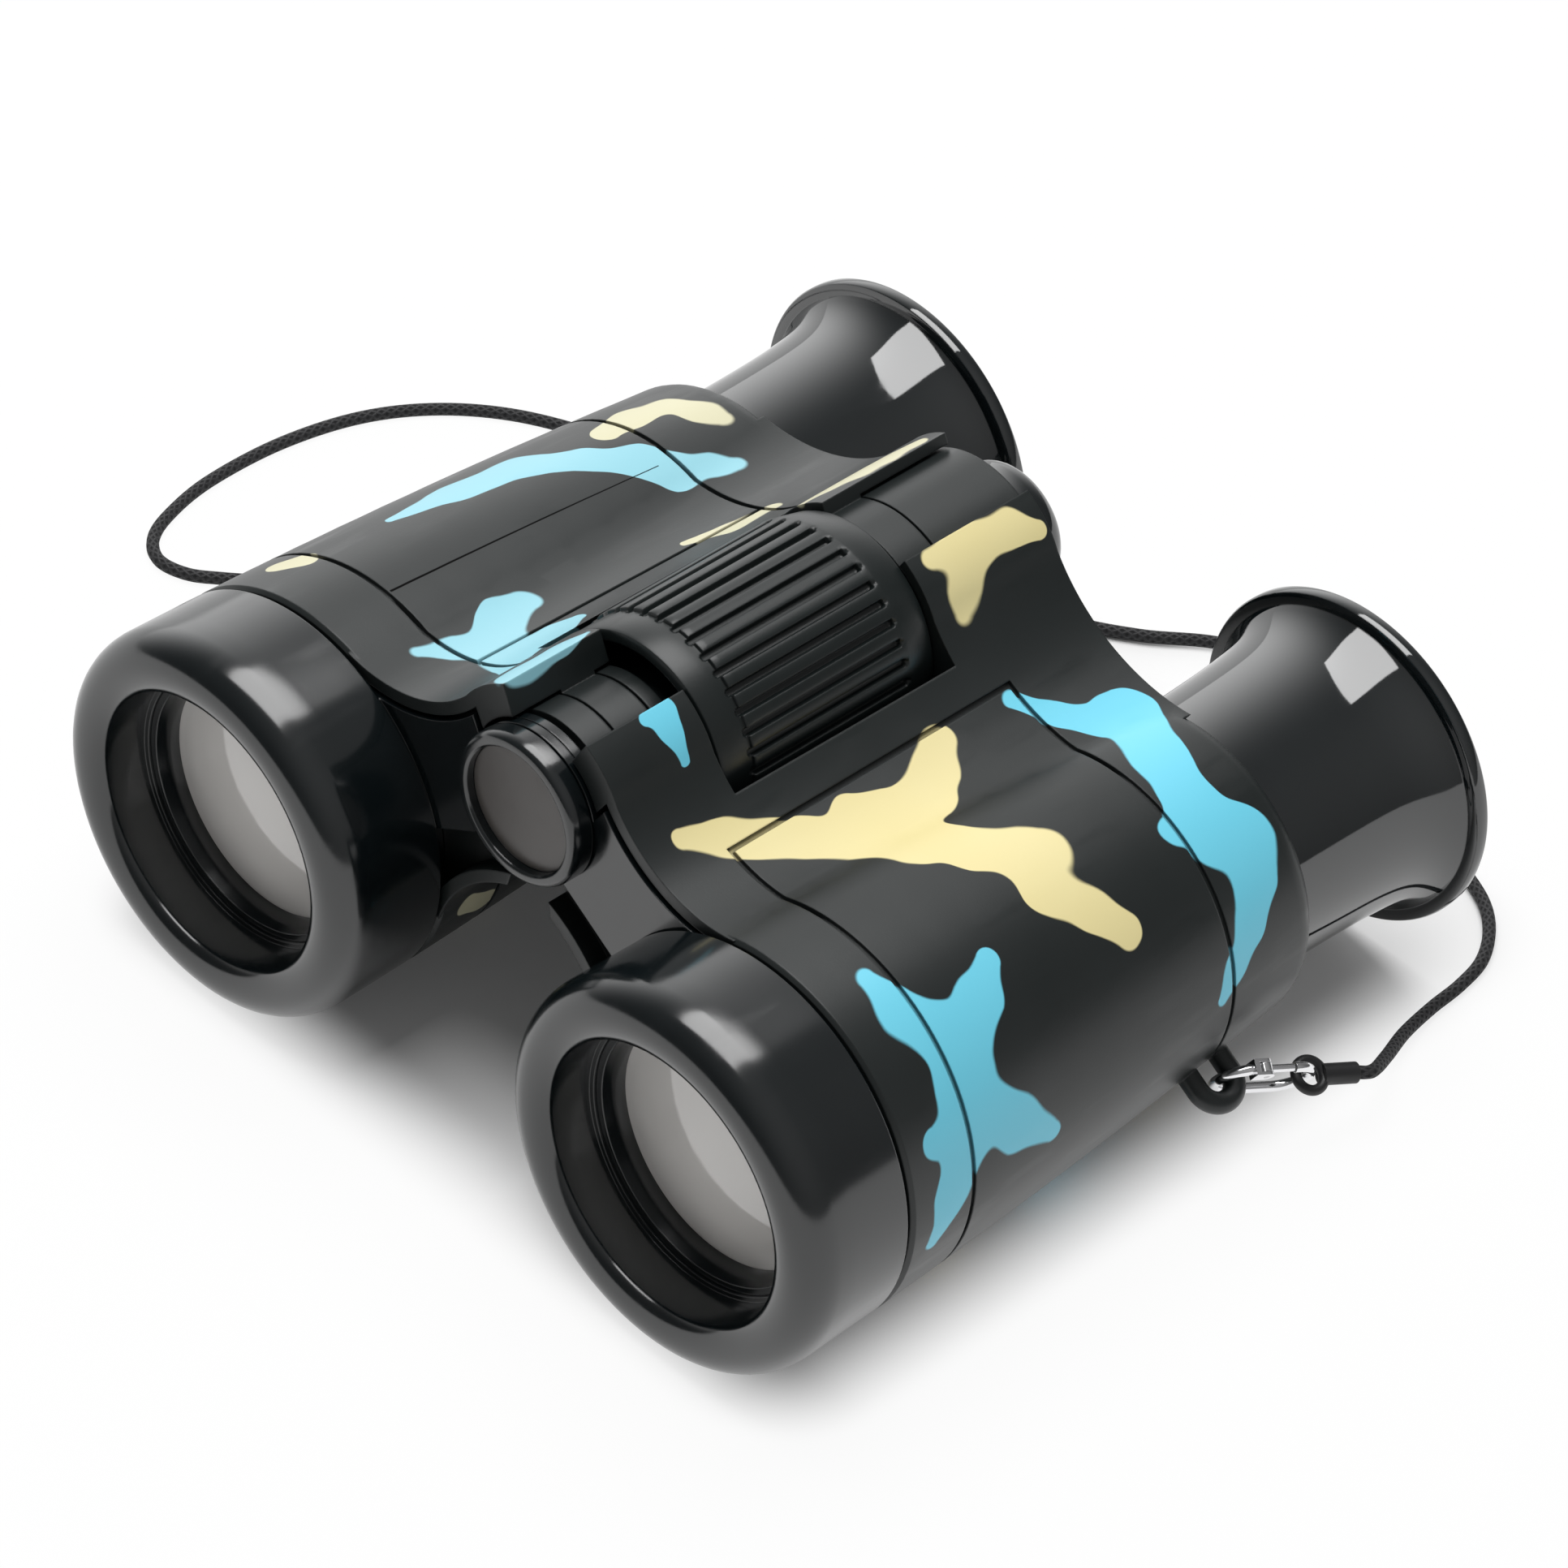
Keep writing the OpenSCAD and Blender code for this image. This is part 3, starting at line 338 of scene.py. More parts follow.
# %% Where the blotches lie
photo_width = 1932
far_out, wing_lift = 100 * mm, 0.6 * mm
right_yellow = {
    "photo": [
        [(842, 1035, 0.9), (900, 1033, 1.7), (1000, 1033, 2.2), (1060, 1030, 3.0), (1130, 1035, 3.4),
         (1200, 1045, 2.8), (1265, 1048, 2.8), (1290, 1046, 2.4)],
        [(1055, 1005, 2.4), (1115, 1000, 2.8), (1140, 985, 2.4), (1152, 950, 1.9), (1156, 912, 1.6)],
        [(1265, 1060, 2.8), (1290, 1095, 2.6), (1340, 1120, 2.0), (1388, 1147, 1.8)],
        [(1280, 652, 0.9), (1245, 650, 1.5), (1195, 675, 2.0), (1150, 688, 0.9)],
        [(1190, 690, 2.1), (1190, 730, 1.5), (1189, 758, 0.6)]],
    "barrel": [
        [(-28, -157, 1.2), (-22, -175, 2.8), (-18, 165, 2.6), (-19, 146, 0.9)],
        [(-21, -177, 2.6), (-14, -168, 1.8), (-9, -159, 0.6)],
        [(12, 153, 1.0), (15, 173, 2.4), (13, -167, 2.6), (18, -149, 0.8)]]}
right_blue = {
    "photo": [
        [(1070, 1207, 0.9), (1110, 1245, 2.0), (1175, 1285, 3.2), (1190, 1330, 3.3), (1195, 1380, 3.6)],
        [(1190, 1280, 3.0), (1208, 1230, 2.0), (1217, 1183, 1.1)],
        [(1205, 1365, 3.2), (1255, 1385, 2.4), (1297, 1394, 1.0)],
        [(1190, 1385, 3.4), (1152, 1408, 1.4)],
        [(1187, 1420, 3.0), (1175, 1470, 2.1), (1150, 1530, 0.6)],
        [(1246, 861, 0.8), (1300, 880, 1.2), (1350, 888, 1.8), (1388, 880, 3.2), (1430, 935, 2.8),
         (1465, 985, 2.8), (1490, 1020, 3.4), (1535, 1040, 3.4), (1548, 1085, 2.6), (1540, 1140, 1.8),
         (1525, 1190, 1.2), (1508, 1232, 0.5)],
        [(1475, 1010, 3.0), (1446, 1025, 1.3)],
        [(795, 885, 0.5), (818, 878, 1.1), (828, 900, 0.9), (842, 940, 0.3)]],
    "barrel": [
        [(-6, 127, 0.7), (-3, 151, 2.6), (0, 174, 3.0), (-1, -168, 2.4), (3, -147, 0.7)],
        [(0, 170, 2.6), (6, 160, 0.8)],
        [(-30, -129, 0.6), (-26, -140, 2.2), (-20, -143, 0.6)]]}
left_yellow = {
    "photo": [
        [(748, 532, 1.6), (775, 515, 2.0), (820, 500, 1.3), (865, 508, 1.5), (892, 517, 0.8)],
        [(343, 697, 1.2), (372, 690, 1.5)],
        [(840, 670, 0.3), (900, 650, 1.0), (953, 624, 0.6)],
        [(577, 1115, 1.4), (596, 1109, 1.5)]],
    "hinge": [
        [(7.5, -44, 0.7), (11, -43, 1.3), (14.5, -41, 1.9), (18, -37, 1.4), (22, -34, 0.9)]],
    "barrel": [
        [(-22, -49, 0.8), (-16, -84, 2.8), (-10, -109, 2.6), (-6, -132, 0.8)],
        [(-15, -90, 2.3), (-21, -106, 0.7)],
        [(-24, -156, 0.9), (-20, -177, 2.6), (-22, 166, 2.8), (-17, 150, 0.7)],
        [(14, -160, 0.8), (17, 180, 2.4), (15, 161, 0.8)]]}
left_blue = {
    "photo": [
        [(482, 641, 0.4), (560, 605, 2.2), (640, 575, 2.3), (720, 565, 1.8), (790, 568, 2.2), (830, 580, 2.2),
         (880, 573, 1.3), (906, 572, 0.8)],
        [(515, 803, 0.6), (560, 798, 1.5), (610, 795, 2.6), (620, 755, 2.1), (645, 742, 1.6)],
        [(615, 800, 2.2), (640, 805, 2.3), (690, 775, 1.7), (716, 760, 0.6)]],
    "hinge": [
        [(-25, -82, 2.3), (-28, -66, 1.7)],
        [(-33.5, -33, 1.5), (-32, -33, 1.5), (-27, -33, 1.3), (-23.5, -32, 0.7)]],
    "barrel": [
        [(4, -62, 0.8), (8, -78, 2.8), (14, -102, 2.6), (19, -120, 0.8)],
        [(9, -83, 2.3), (2, -98, 0.7)],
        [(-8, 159, 0.7), (-4, 177, 2.8), (-6, -161, 2.8), (-1, -143, 0.8)],
        [(-4, 180, 2.6), (3, 174, 1.8), (7, 161, 0.6)]]}
# The black of this line is painted shade of a scored groove that the shape does not have.
left_score = {"photo": [[(482, 728, 0.14), (811, 574, 0.06)]]}


def ray_through_photo(right, down):
    sideways = view_right * (right / photo_width - 0.5) + view_up * (0.5 - down / photo_width)
    return view_place, sideways * sensor_width - view_back * lens_length


def ray_towards_axle(axle, along, degrees):
    turn = math.radians(degrees)
    outwards = Vector((math.sin(turn), 0, math.cos(turn)))
    return Vector(axle) + Vector((0, along * mm, 0)) + outwards * far_out, -outwards


def marks_on(half, blotches):
    mesh = frame["nodes"][half + "_body"].data
    surface = BVHTree.FromPolygons([v.co for v in mesh.vertices], [p.vertices for p in mesh.polygons])
    axles = {"barrel": axle_and_ends(half + "_eyepiece")[0], "hinge": axle_and_ends("focus_wheel")[0]}
    found = []
    for kind, lines in blotches.items():
        for line in lines:
            marks = []
            for *where, radius in line:
                if kind == "photo":
                    start, direction = ray_through_photo(*where)
                else:
                    start, direction = ray_towards_axle(axles[kind], *where)
                place = surface.ray_cast(start, direction)[0]
                if kind == "hinge":
                    place -= direction * wing_lift
                marks.append((*(place / mm), radius))
            found.append(marks)
    return found


for half, *colours in (("right", right_yellow, right_blue), ("left", left_yellow, left_blue)):
    print(half, "blotches, yellow and blue:", [sum(map(len, colour.values())) for colour in colours])

# %% [markdown]
# The body plastic is a dark charcoal satin. The paint's edge is crisp with a breath of overspray that
# comes and goes. The strokes' coordinates are bent a little by noise first, because a hand-cut mask
# has no true straight edges. The paint fades where the surface sees little of the open air, which an
# Ambient Occlusion node measures, so the seams go dark: partly because the spray hardly reaches the
# bottom of a seam, and partly as painted shade. On the left half the paint looks paler and chalkier in
# the photo from sheen, so its paler tones are painted sheen, and each half has tones of its own.
# A scored line is not in the shape, so the shade in its groove is painted on as a black line; a black
# metal mirrors nothing, so the line is one. It is measured with the height squashed, so that it need
# not follow the barrel's taper exactly. The paint has no bump: a Bump node works out its height three
# times over, which would make these long chains slow, and the film is too thin to show.

# %% Camouflage finish
charcoal, charcoal_light = (0.009, 0.012, 0.012, 1), (0.016, 0.020, 0.020, 1)
right_paint = {"yellow": ((0.87, 0.75, 0.35, 1), (0.90, 0.80, 0.43, 1)),
               "blue": ((0.17, 0.69, 0.90, 1), (0.20, 0.74, 0.93, 1))}
# The left half's paler tones are painted sheen on the same paint as the right half.
left_paint_with_painted_sheen = {"yellow": ((0.67, 0.64, 0.41, 1), (0.70, 0.67, 0.47, 1)),
              "blue": ((0.28, 0.62, 0.73, 1), (0.33, 0.67, 0.76, 1))}
body_grain, body_drift, body_bump, body_edge = 0.22, 14.0, 0.3, 0.25 * mm
body_gloss = (0.38, 0.31)
run_together, paint_spread = 2.0, 0.2
overspray_drift, overspray = (0.45, 0.75), (0.07, 0.38)
waver_scale, waver_reach = 0.17, 1.3
seam_reach, seam_floor, seam_lip, seam_paint = 0.8 * mm, 0.42, 0.72, 0.15
# The scored line's black is painted shade of its groove.
score_painted_shade, score_softness, score_squash = (0, 0, 0, 1), 0.05, 0.1


def blotch_mask(tree, place, blotches, softness, spread):
    nearest = far_away
    for marks in blotches:
        for a, b in zip(marks, marks[1:]):
            nearest = place_group(
                tree, stroke_group, Place=place, Nearest=nearest, Run_together=run_together,
                From=a[:3], To=b[:3], From_radius=a[3], To_radius=b[3])["Nearest"]
    bare = math_node(tree, "ADD", spread, softness)
    covered = math_node(tree, "SUBTRACT", spread, softness)
    return remap(tree, nearest, (bare, covered), (0, 1), interpolation_type="SMOOTHSTEP")


def camouflage(name, yellow, blue, paint, score=()):
    material, tree, shader = new_material(name)
    place = millimetres(tree)
    grain = place_group(tree, grain_group, Place=place, Grain_size=body_grain, Drift_size=body_drift)
    drift = grain["Drift"]
    rub = place_group(tree, rub_group, Place=place)["Mask"]
    noise = add(tree, "ShaderNodeTexNoise", {"Vector": place, "Scale": waver_scale, "Detail": 1.0})
    waver = vector_node(tree, "SUBTRACT", noise.outputs["Color"], (0.5, 0.5, 0.5))
    bent = vector_node(tree, "MULTIPLY_ADD", waver, (waver_reach,) * 3, place)
    softness = remap(tree, drift, overspray_drift, overspray)
    # The paint thins in the seams by how little open air they see, which leaves them dark: partly spray that
    # misses the seam floor, partly painted shade.
    openness = add(tree, "ShaderNodeAmbientOcclusion", {"Distance": seam_reach}, samples=8, only_local=True)
    spray_reach_and_seam_shade = remap(tree, openness.outputs["AO"], (seam_floor, seam_lip), (seam_paint, 1))
    on_yellow = math_node(tree, "MULTIPLY", blotch_mask(tree, bent, yellow, softness, paint_spread), spray_reach_and_seam_shade)
    on_blue = math_node(tree, "MULTIPLY", blotch_mask(tree, bent, blue, softness, paint_spread), spray_reach_and_seam_shade)
    colour = two_tone(tree, drift, charcoal, charcoal_light)
    colour = two_tone(tree, on_yellow, colour, two_tone(tree, drift, *paint["yellow"]))
    colour = two_tone(tree, on_blue, colour, two_tone(tree, drift, *paint["blue"]))
    if score:
        # The scored line is painted shade: black colour and black metal, which mirrors nothing.
        flat = vector_node(tree, "MULTIPLY", place, (1, 1, score_squash))
        flat_score = [[(x, y, z * score_squash, r) for x, y, z, r in marks] for marks in score]
        score_shade_mask = blotch_mask(tree, flat, flat_score, score_softness, 0.0)
        colour = two_tone(tree, score_shade_mask, colour, score_painted_shade)
        tree.links.new(score_shade_mask, shader.inputs["Metallic"])
    tree.links.new(colour, shader.inputs["Base Color"])
    tree.links.new(remap(tree, rub, (0, 1), body_gloss), shader.inputs["Roughness"])
    tree.links.new(rounded_bump(tree, grain["Height"], body_bump, body_edge), shader.inputs["Normal"])
    return material


right_camo = camouflage(
    "right_camouflage", marks_on("right", right_yellow), marks_on("right", right_blue), right_paint)
left_camo = camouflage(
    "left_camouflage", marks_on("left", left_yellow), marks_on("left", left_blue), left_paint_with_painted_sheen,
    marks_on("left", left_score))
print("camouflage nodes:", len(right_camo.node_tree.nodes), len(left_camo.node_tree.nodes))

# %% [markdown]
# The other plastics and metals differ only in tone, gloss and grain, so one function makes them all.
# Roughness comes from the streak group, and the bump from the grain group and from softened edges.

# %% Plain finishes
plain_drift = 6.0
jet, jet_light = (0.003, 0.005, 0.006), (0.006, 0.009, 0.010)


def plain_finish(name, dark, light, gloss, grain_size, grain_depth,
                 metallic=0.0, edge_radius=0.2 * mm, index=1.5):
    material, tree, shader = new_material(name)
    place = millimetres(tree)
    grain = place_group(tree, grain_group, Place=place, Grain_size=grain_size, Drift_size=plain_drift)
    rub = place_group(tree, rub_group, Place=place)["Mask"]
    tree.links.new(two_tone(tree, grain["Drift"], (*dark, 1), (*light, 1)), shader.inputs["Base Color"])
    tree.links.new(remap(tree, rub, (0, 1), gloss), shader.inputs["Roughness"])
    shader.inputs["Metallic"].default_value = metallic
    shader.inputs["IOR"].default_value = index
    tree.links.new(rounded_bump(tree, grain["Height"], grain_depth, edge_radius), shader.inputs["Normal"])
    return material


gloss_black = plain_finish(
    "gloss_black_plastic", jet, jet_light, gloss=(0.04, 0.07), grain_size=0.8, grain_depth=0.04, index=1.9)
tube_black = plain_finish(
    "semi_gloss_black_plastic", jet, jet_light,
    gloss=(0.15, 0.20), grain_size=0.5, grain_depth=0.06, index=1.75)
wheel_black = plain_finish(
    "satin_black_plastic", (0.006, 0.009, 0.009), (0.010, 0.014, 0.014),
    gloss=(0.34, 0.42), grain_size=0.18, grain_depth=0.3)
cap_grey = plain_finish(
    "grey_inlay", (0.075, 0.068, 0.063), (0.095, 0.087, 0.081),
    gloss=(0.30, 0.36), grain_size=0.25, grain_depth=0.4)
steel = plain_finish(
    "turned_steel", (0.50, 0.50, 0.52), (0.60, 0.60, 0.61),
    gloss=(0.28, 0.38), grain_size=0.15, grain_depth=0.3, metallic=1.0, edge_radius=0.08 * mm)
chrome = plain_finish(
    "clip_chrome", (0.80, 0.80, 0.82), (0.88, 0.88, 0.89),
    gloss=(0.10, 0.18), grain_size=0.3, grain_depth=0.15, metallic=1.0, edge_radius=0.08 * mm)
crimp_black = plain_finish(
    "crimp_plastic", (0.010, 0.010, 0.011), (0.018, 0.018, 0.019),
    gloss=(0.45, 0.55), grain_size=0.12, grain_depth=0.6, edge_radius=0.1 * mm)
finishes = (gloss_black, tube_black, wheel_black, cap_grey, steel, chrome, crimp_black)
print("finishes:", [finish.name for finish in finishes])

# %% [markdown]
# The lenses are thin clear plastic with a dark inside behind them. From outside one sees the white
# surroundings mirrored in them, greyer than a mirror. A high index of refraction gives part of that
# reflection, and the light grey base colour is painted reflection of the white surroundings.

# %% Lens finish
lens_grain, lens_drift, lens_lighter = 2.5, 16.0, 1.25
lens_gloss = (0.04, 0.10)


def lens_finish(name, lens_tone, index):
    material, tree, shader = new_material(name)
    grain = place_group(
        tree, grain_group, Place=millimetres(tree), Grain_size=lens_grain, Drift_size=lens_drift)
    light = [lens_lighter * c for c in lens_tone]
    tree.links.new(two_tone(tree, grain["Drift"], (*lens_tone, 1), (*light, 1)), shader.inputs["Base Color"])
    tree.links.new(remap(tree, grain["Height"], (0, 1), lens_gloss), shader.inputs["Roughness"])
    shader.inputs["IOR"].default_value = index
    return material


# The objective lens's light grey base colour is a painted reflection of the white surroundings.
lens_painted_reflection = lens_finish("lens_with_painted_reflection", (0.70, 0.68, 0.655), index=1.9)
eye_glass = lens_finish("eye_glass", (0.10, 0.105, 0.115), index=1.8)
print("lenses:", lens_painted_reflection.name, eye_glass.name)

# %% [markdown]
# A skin is a copy of a construction piece, with its loose triangles merged and its round faces
# shaded smooth. The copy rides on the same body as the piece that it stands for.

# %% Skins for the construction pieces
smooth_below = math.radians(32)
weld = 1e-6


def skin(node, material):
    mesh = frame["nodes"][node].data.copy()
    mesh.name = node + "_skin"
    shape = bmesh.new()
    shape.from_mesh(mesh)
    bmesh.ops.remove_doubles(shape, verts=shape.verts, dist=weld)
    shape.to_mesh(mesh)
    shape.free()
    if "custom_normal" in mesh.attributes:
        mesh.attributes.remove(mesh.attributes["custom_normal"])
    mesh.shade_smooth()
    mesh.set_sharp_from_angle(angle=smooth_below)
    mesh.materials.clear()
    mesh.materials.append(material)
    piece = bpy.data.objects.new(node + "_skin", mesh)
    scene.collection.objects.link(piece)
    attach(piece, body_of_node[node])
    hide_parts(node)
    return piece


skins = {"right_body": skin("right_body", right_camo),
         "left_body": skin("left_body", left_camo)}
for side in ("right_", "left_"):
    for part, material in (("objective_tube", tube_black), ("objective_ring", tube_black),
                           ("eye_ring", gloss_black)):
        skins[side + part] = skin(side + part, material)
    skins[side + "objective_lens"] = skin(side + "objective_lens", lens_painted_reflection)
    skins[side + "eye_lens"] = skin(side + "eye_lens", eye_glass)
    for part, material, slot in (("clip", chrome, "clip_metal"), ("clip_gate", chrome, "clip_metal"),
                                 ("gate_pin", steel, "steel"), ("cord_end", crimp_black, "crimp_black")):
        skins[side + part] = skin(side + part, material)
for node, material, slot in (
        ("front_cap", tube_black, "gloss_black"), ("cap_disc", cap_grey, "cap_grey"),
        ("rear_cap", gloss_black, "gloss_black"), ("hinge_sleeve", steel, "steel"),
        ("hinge_pin", steel, "steel"), ("focus_screw", steel, "steel")):
    skins[node] = skin(node, material)
print("skins:", len(skins))

# %% [markdown]
# Geometry Nodes build a mesh from rules instead of by hand. One helper starts such a tree with named
# inputs. Another runs the tree on a source object, keeps what it made as a plain mesh, and takes
# the source away. A third draws the line that serves as such a source.

# %% Helpers for geometry nodes
def geometry_tree(name, inputs):
    inputs = {"Geometry": ("Geometry", None), **inputs}
    return new_group(name, inputs, {"Geometry": "Geometry"}, kind="GeometryNodeTree")


def grow(source, tree, values, name):
    modifier = source.modifiers.new(tree.name, "NODES")
    modifier.node_group = tree
    for item in tree.interface.items_tree:
        if item.in_out == "INPUT" and item.name in values:
            modifier[item.identifier] = values[item.name]
    bpy.context.view_layer.update()
    grown = source.evaluated_get(bpy.context.evaluated_depsgraph_get())
    mesh = bpy.data.meshes.new_from_object(grown)
    mesh.name = name
    source.modifiers.remove(modifier)
    piece = bpy.data.objects.new(name, mesh)
    scene.collection.objects.link(piece)
    bpy.data.objects.remove(source)
    return piece


def line_object(name, points):
    data = bpy.data.curves.new(name, "CURVE")
    data.dimensions = "3D"
    spline = data.splines.new("POLY")
    spline.points.add(len(points) - 1)
    for point, where in zip(spline.points, points):
        point.co = (*where, 1)
    drawn = bpy.data.objects.new(name, data)
    scene.collection.objects.link(drawn)
    return drawn


print("geometry helpers ready")

# %% [markdown]
# A turned piece follows one rule: a profile goes round an axle. The focus wheel is one too, lowered
# wherever a furrow runs. One rib could also be modelled and arrayed, but then the round ends of the
# furrows would need joining by hand. Here a grid is rolled up: its rows take radius and place from the
# profile's points, its columns go round, and a distance to the furrow's middle line says how deep each
# point sinks. The tops of the ribs are crowned a little. Rolled up this way the grid faces inwards, so
# its faces are flipped at the end.

# %% Geometry nodes: turned piece with furrows
turned_tree, given, result = geometry_tree("turned piece", {
    "Columns": ("Int", 129), "Rows": ("Int", 40), "Ribs": ("Int", 1), "Top radius": ("Float", 1.0),
    "Furrow width": ("Float", 0.1), "Furrow depth": ("Float", 0.0), "Furrow wall": ("Float", 0.01),
    "Furrow front": ("Float", 0.0), "Furrow rear": ("Float", 1.0), "Crown": ("Float", 0.0),
    "Axle": ("Vector", None), "Finish": ("Material", None)})
tree = turned_tree
sheet = add(tree, "GeometryNodeMeshGrid", {"Vertices X": given["Columns"], "Vertices Y": given["Rows"]})
index = add(tree, "GeometryNodeInputIndex").outputs["Index"]
row = math_node(tree, "MODULO", index, given["Rows"])
column = math_node(tree, "FLOOR", math_node(tree, "DIVIDE", index, given["Rows"]))
turned = math_node(tree, "DIVIDE", column, math_node(tree, "SUBTRACT", given["Columns"], 1.0))
position = add(tree, "GeometryNodeInputPosition").outputs["Position"]
on_profile = add(tree, "GeometryNodeSampleIndex", {
    "Geometry": given["Geometry"], "Value": position, "Index": row}, data_type="FLOAT_VECTOR", domain="POINT")
profile_at = add(tree, "ShaderNodeSeparateXYZ", {0: on_profile.outputs["Value"]}).outputs

way_round = math_node(tree, "MULTIPLY", given["Top radius"], 2 * math.pi)
pitch = math_node(tree, "DIVIDE", way_round, given["Ribs"])
phase = math_node(tree, "FRACT", math_node(tree, "MULTIPLY_ADD", turned, given["Ribs"], 0.5))
across = math_node(tree, "MULTIPLY", math_node(tree, "SUBTRACT", phase, 0.5), pitch)
half_width = math_node(tree, "DIVIDE", given["Furrow width"], 2.0)
rear_centre = math_node(tree, "SUBTRACT", given["Furrow rear"], half_width)
front_centre = math_node(tree, "ADD", given["Furrow front"], half_width)
past_rear = math_node(tree, "SUBTRACT", profile_at["Y"], rear_centre)
past_front = math_node(tree, "SUBTRACT", front_centre, profile_at["Y"])
beyond = math_node(tree, "MAXIMUM", 0.0, math_node(tree, "MAXIMUM", past_rear, past_front))
beyond_squared = math_node(tree, "MULTIPLY", beyond, beyond)
away = math_node(tree, "SQRT", math_node(tree, "MULTIPLY_ADD", across, across, beyond_squared))
wall_top = math_node(tree, "ADD", half_width, given["Furrow wall"])
wall_foot = math_node(tree, "SUBTRACT", half_width, given["Furrow wall"])
sunk = remap(tree, away, (wall_top, wall_foot), (0, given["Furrow depth"]), interpolation_type="SMOOTHSTEP")

half_pitch = math_node(tree, "DIVIDE", pitch, 2.0)
from_furrow = math_node(tree, "DIVIDE", math_node(tree, "ABSOLUTE", across), half_pitch)
from_top = math_node(tree, "SUBTRACT", 1.0, from_furrow)
crown = remap(tree, beyond, (0, given["Furrow width"]), (given["Crown"], 0))
worn = math_node(tree, "MULTIPLY", math_node(tree, "MULTIPLY", from_top, from_top), crown)
surface = math_node(tree, "SUBTRACT", math_node(tree, "SUBTRACT", given["Top radius"], sunk), worn)
radius = math_node(tree, "MINIMUM", profile_at["X"], surface)
angle = math_node(tree, "MULTIPLY", turned, 2 * math.pi)
rolled = add(tree, "ShaderNodeCombineXYZ", {
    "X": math_node(tree, "MULTIPLY", radius, math_node(tree, "SINE", angle)), "Y": profile_at["Y"],
    "Z": math_node(tree, "MULTIPLY", radius, math_node(tree, "COSINE", angle))}).outputs["Vector"]
on_axle = vector_node(tree, "ADD", rolled, given["Axle"])

drum = add(tree, "GeometryNodeSetPosition", {"Geometry": sheet.outputs["Mesh"], "Position": on_axle})
closed = add(tree, "GeometryNodeMergeByDistance", {"Geometry": drum.outputs["Geometry"], "Distance": weld})
outwards = add(tree, "GeometryNodeFlipFaces", {"Mesh": closed.outputs["Geometry"]})
real = add(tree, "GeometryNodeRealizeInstances", {"Geometry": outwards.outputs["Mesh"]})
painted = add(tree, "GeometryNodeSetMaterial", {
    "Geometry": real.outputs["Geometry"], "Material": given["Finish"]})
tree.links.new(painted.outputs["Geometry"], result["Geometry"])
print("tree:", turned_tree.name)

# %% [markdown]
# The profile runs from the rear face over the tapered rear band, along the ribs, down to the front
# band, into the hollow front and back through the bore. Rows lie close together where a furrow ends,
# so that its end is round. A helper hands a profile to the tree and says which body the new piece
# rides on and which construction piece it stands for.

# %% Focus wheel
def turn_piece(node, name, profile, slot, **values):
    values = {key.replace("_", " "): value for key, value in values.items()}
    values["Rows"] = len(profile)
    outline = line_object(name + "_profile", [(r, y, 0) for r, y in profile])
    piece = grow(outline, turned_tree, values, name)
    piece.data.shade_smooth()
    piece.data.set_sharp_from_angle(angle=smooth_below)
    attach(piece, body_of_node[node])
    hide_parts(node)
    size = [round(d / mm, 1) for d in piece.dimensions]
    print(name, "faces:", len(piece.data.polygons), "size in mm:", size)


wheel_axle, wheel_front, wheel_rear = axle_and_ends("focus_wheel")
ribs, columns_per_rib = 36, 14
top_r, band_r, taper_r, dish_r, hub_r, bore_r = (r * mm for r in (12.3, 11.9, 11.55, 10.6, 6.6, 5.05))
rib_front, rib_rear, dish_floor = (wheel_front + y * mm for y in (4, 24.8, 8))
notch_front, edge = rib_front - 0.5 * mm, 0.5 * mm
rear_step, notch_step = 0.07 * mm, 0.08 * mm
rear_rows = [(top_r, rib_rear - k * rear_step) for k in range(12)]
notch_rows = [(band_r, notch_front + k * notch_step) for k in range(6, -1, -1)]
wheel_profile = [
    (bore_r, wheel_rear), (taper_r - edge, wheel_rear), (taper_r - edge / 3, wheel_rear - edge / 3),
    (taper_r, wheel_rear - edge), (top_r, rib_rear + 0.6 * mm), (top_r, rib_rear + 0.3 * mm), *rear_rows,
    (top_r, rib_rear - 4 * mm), (top_r, rib_front + 4 * mm), (top_r, rib_front + 1 * mm),
    (top_r, rib_front + 0.3 * mm), (top_r - 0.1 * mm, rib_front + 0.1 * mm), (top_r - 0.3 * mm, rib_front),
    (band_r, rib_front), *notch_rows, (band_r, notch_front - 0.2 * mm), (band_r, wheel_front + edge),
    (band_r - edge / 3, wheel_front + edge / 3), (band_r - edge, wheel_front), (dish_r, wheel_front),
    (dish_r - edge, dish_floor), (hub_r, dish_floor), (hub_r, wheel_front), (bore_r, wheel_front),
    (bore_r, wheel_rear)]
turn_piece(
    "focus_wheel", "focus_wheel_ribbed", wheel_profile, "wheel_black",
    Columns=ribs * columns_per_rib + 1, Ribs=ribs, Top_radius=top_r, Furrow_width=0.78 * mm,
    Furrow_depth=0.62 * mm, Furrow_wall=0.09 * mm, Furrow_front=notch_front, Furrow_rear=rib_rear,
    Crown=0.14 * mm, Axle=wheel_axle, Finish=wheel_black)

# %% [markdown]
# The eyepieces are turned in the same way. Their tube swells slowly and then ever faster into the
# flange, like a trumpet. Gloss plastic shows the least kink in such a flare as a broken reflection, so
# one smooth formula gives it: a gentle square term along the tube and a steep ninth power at its end.

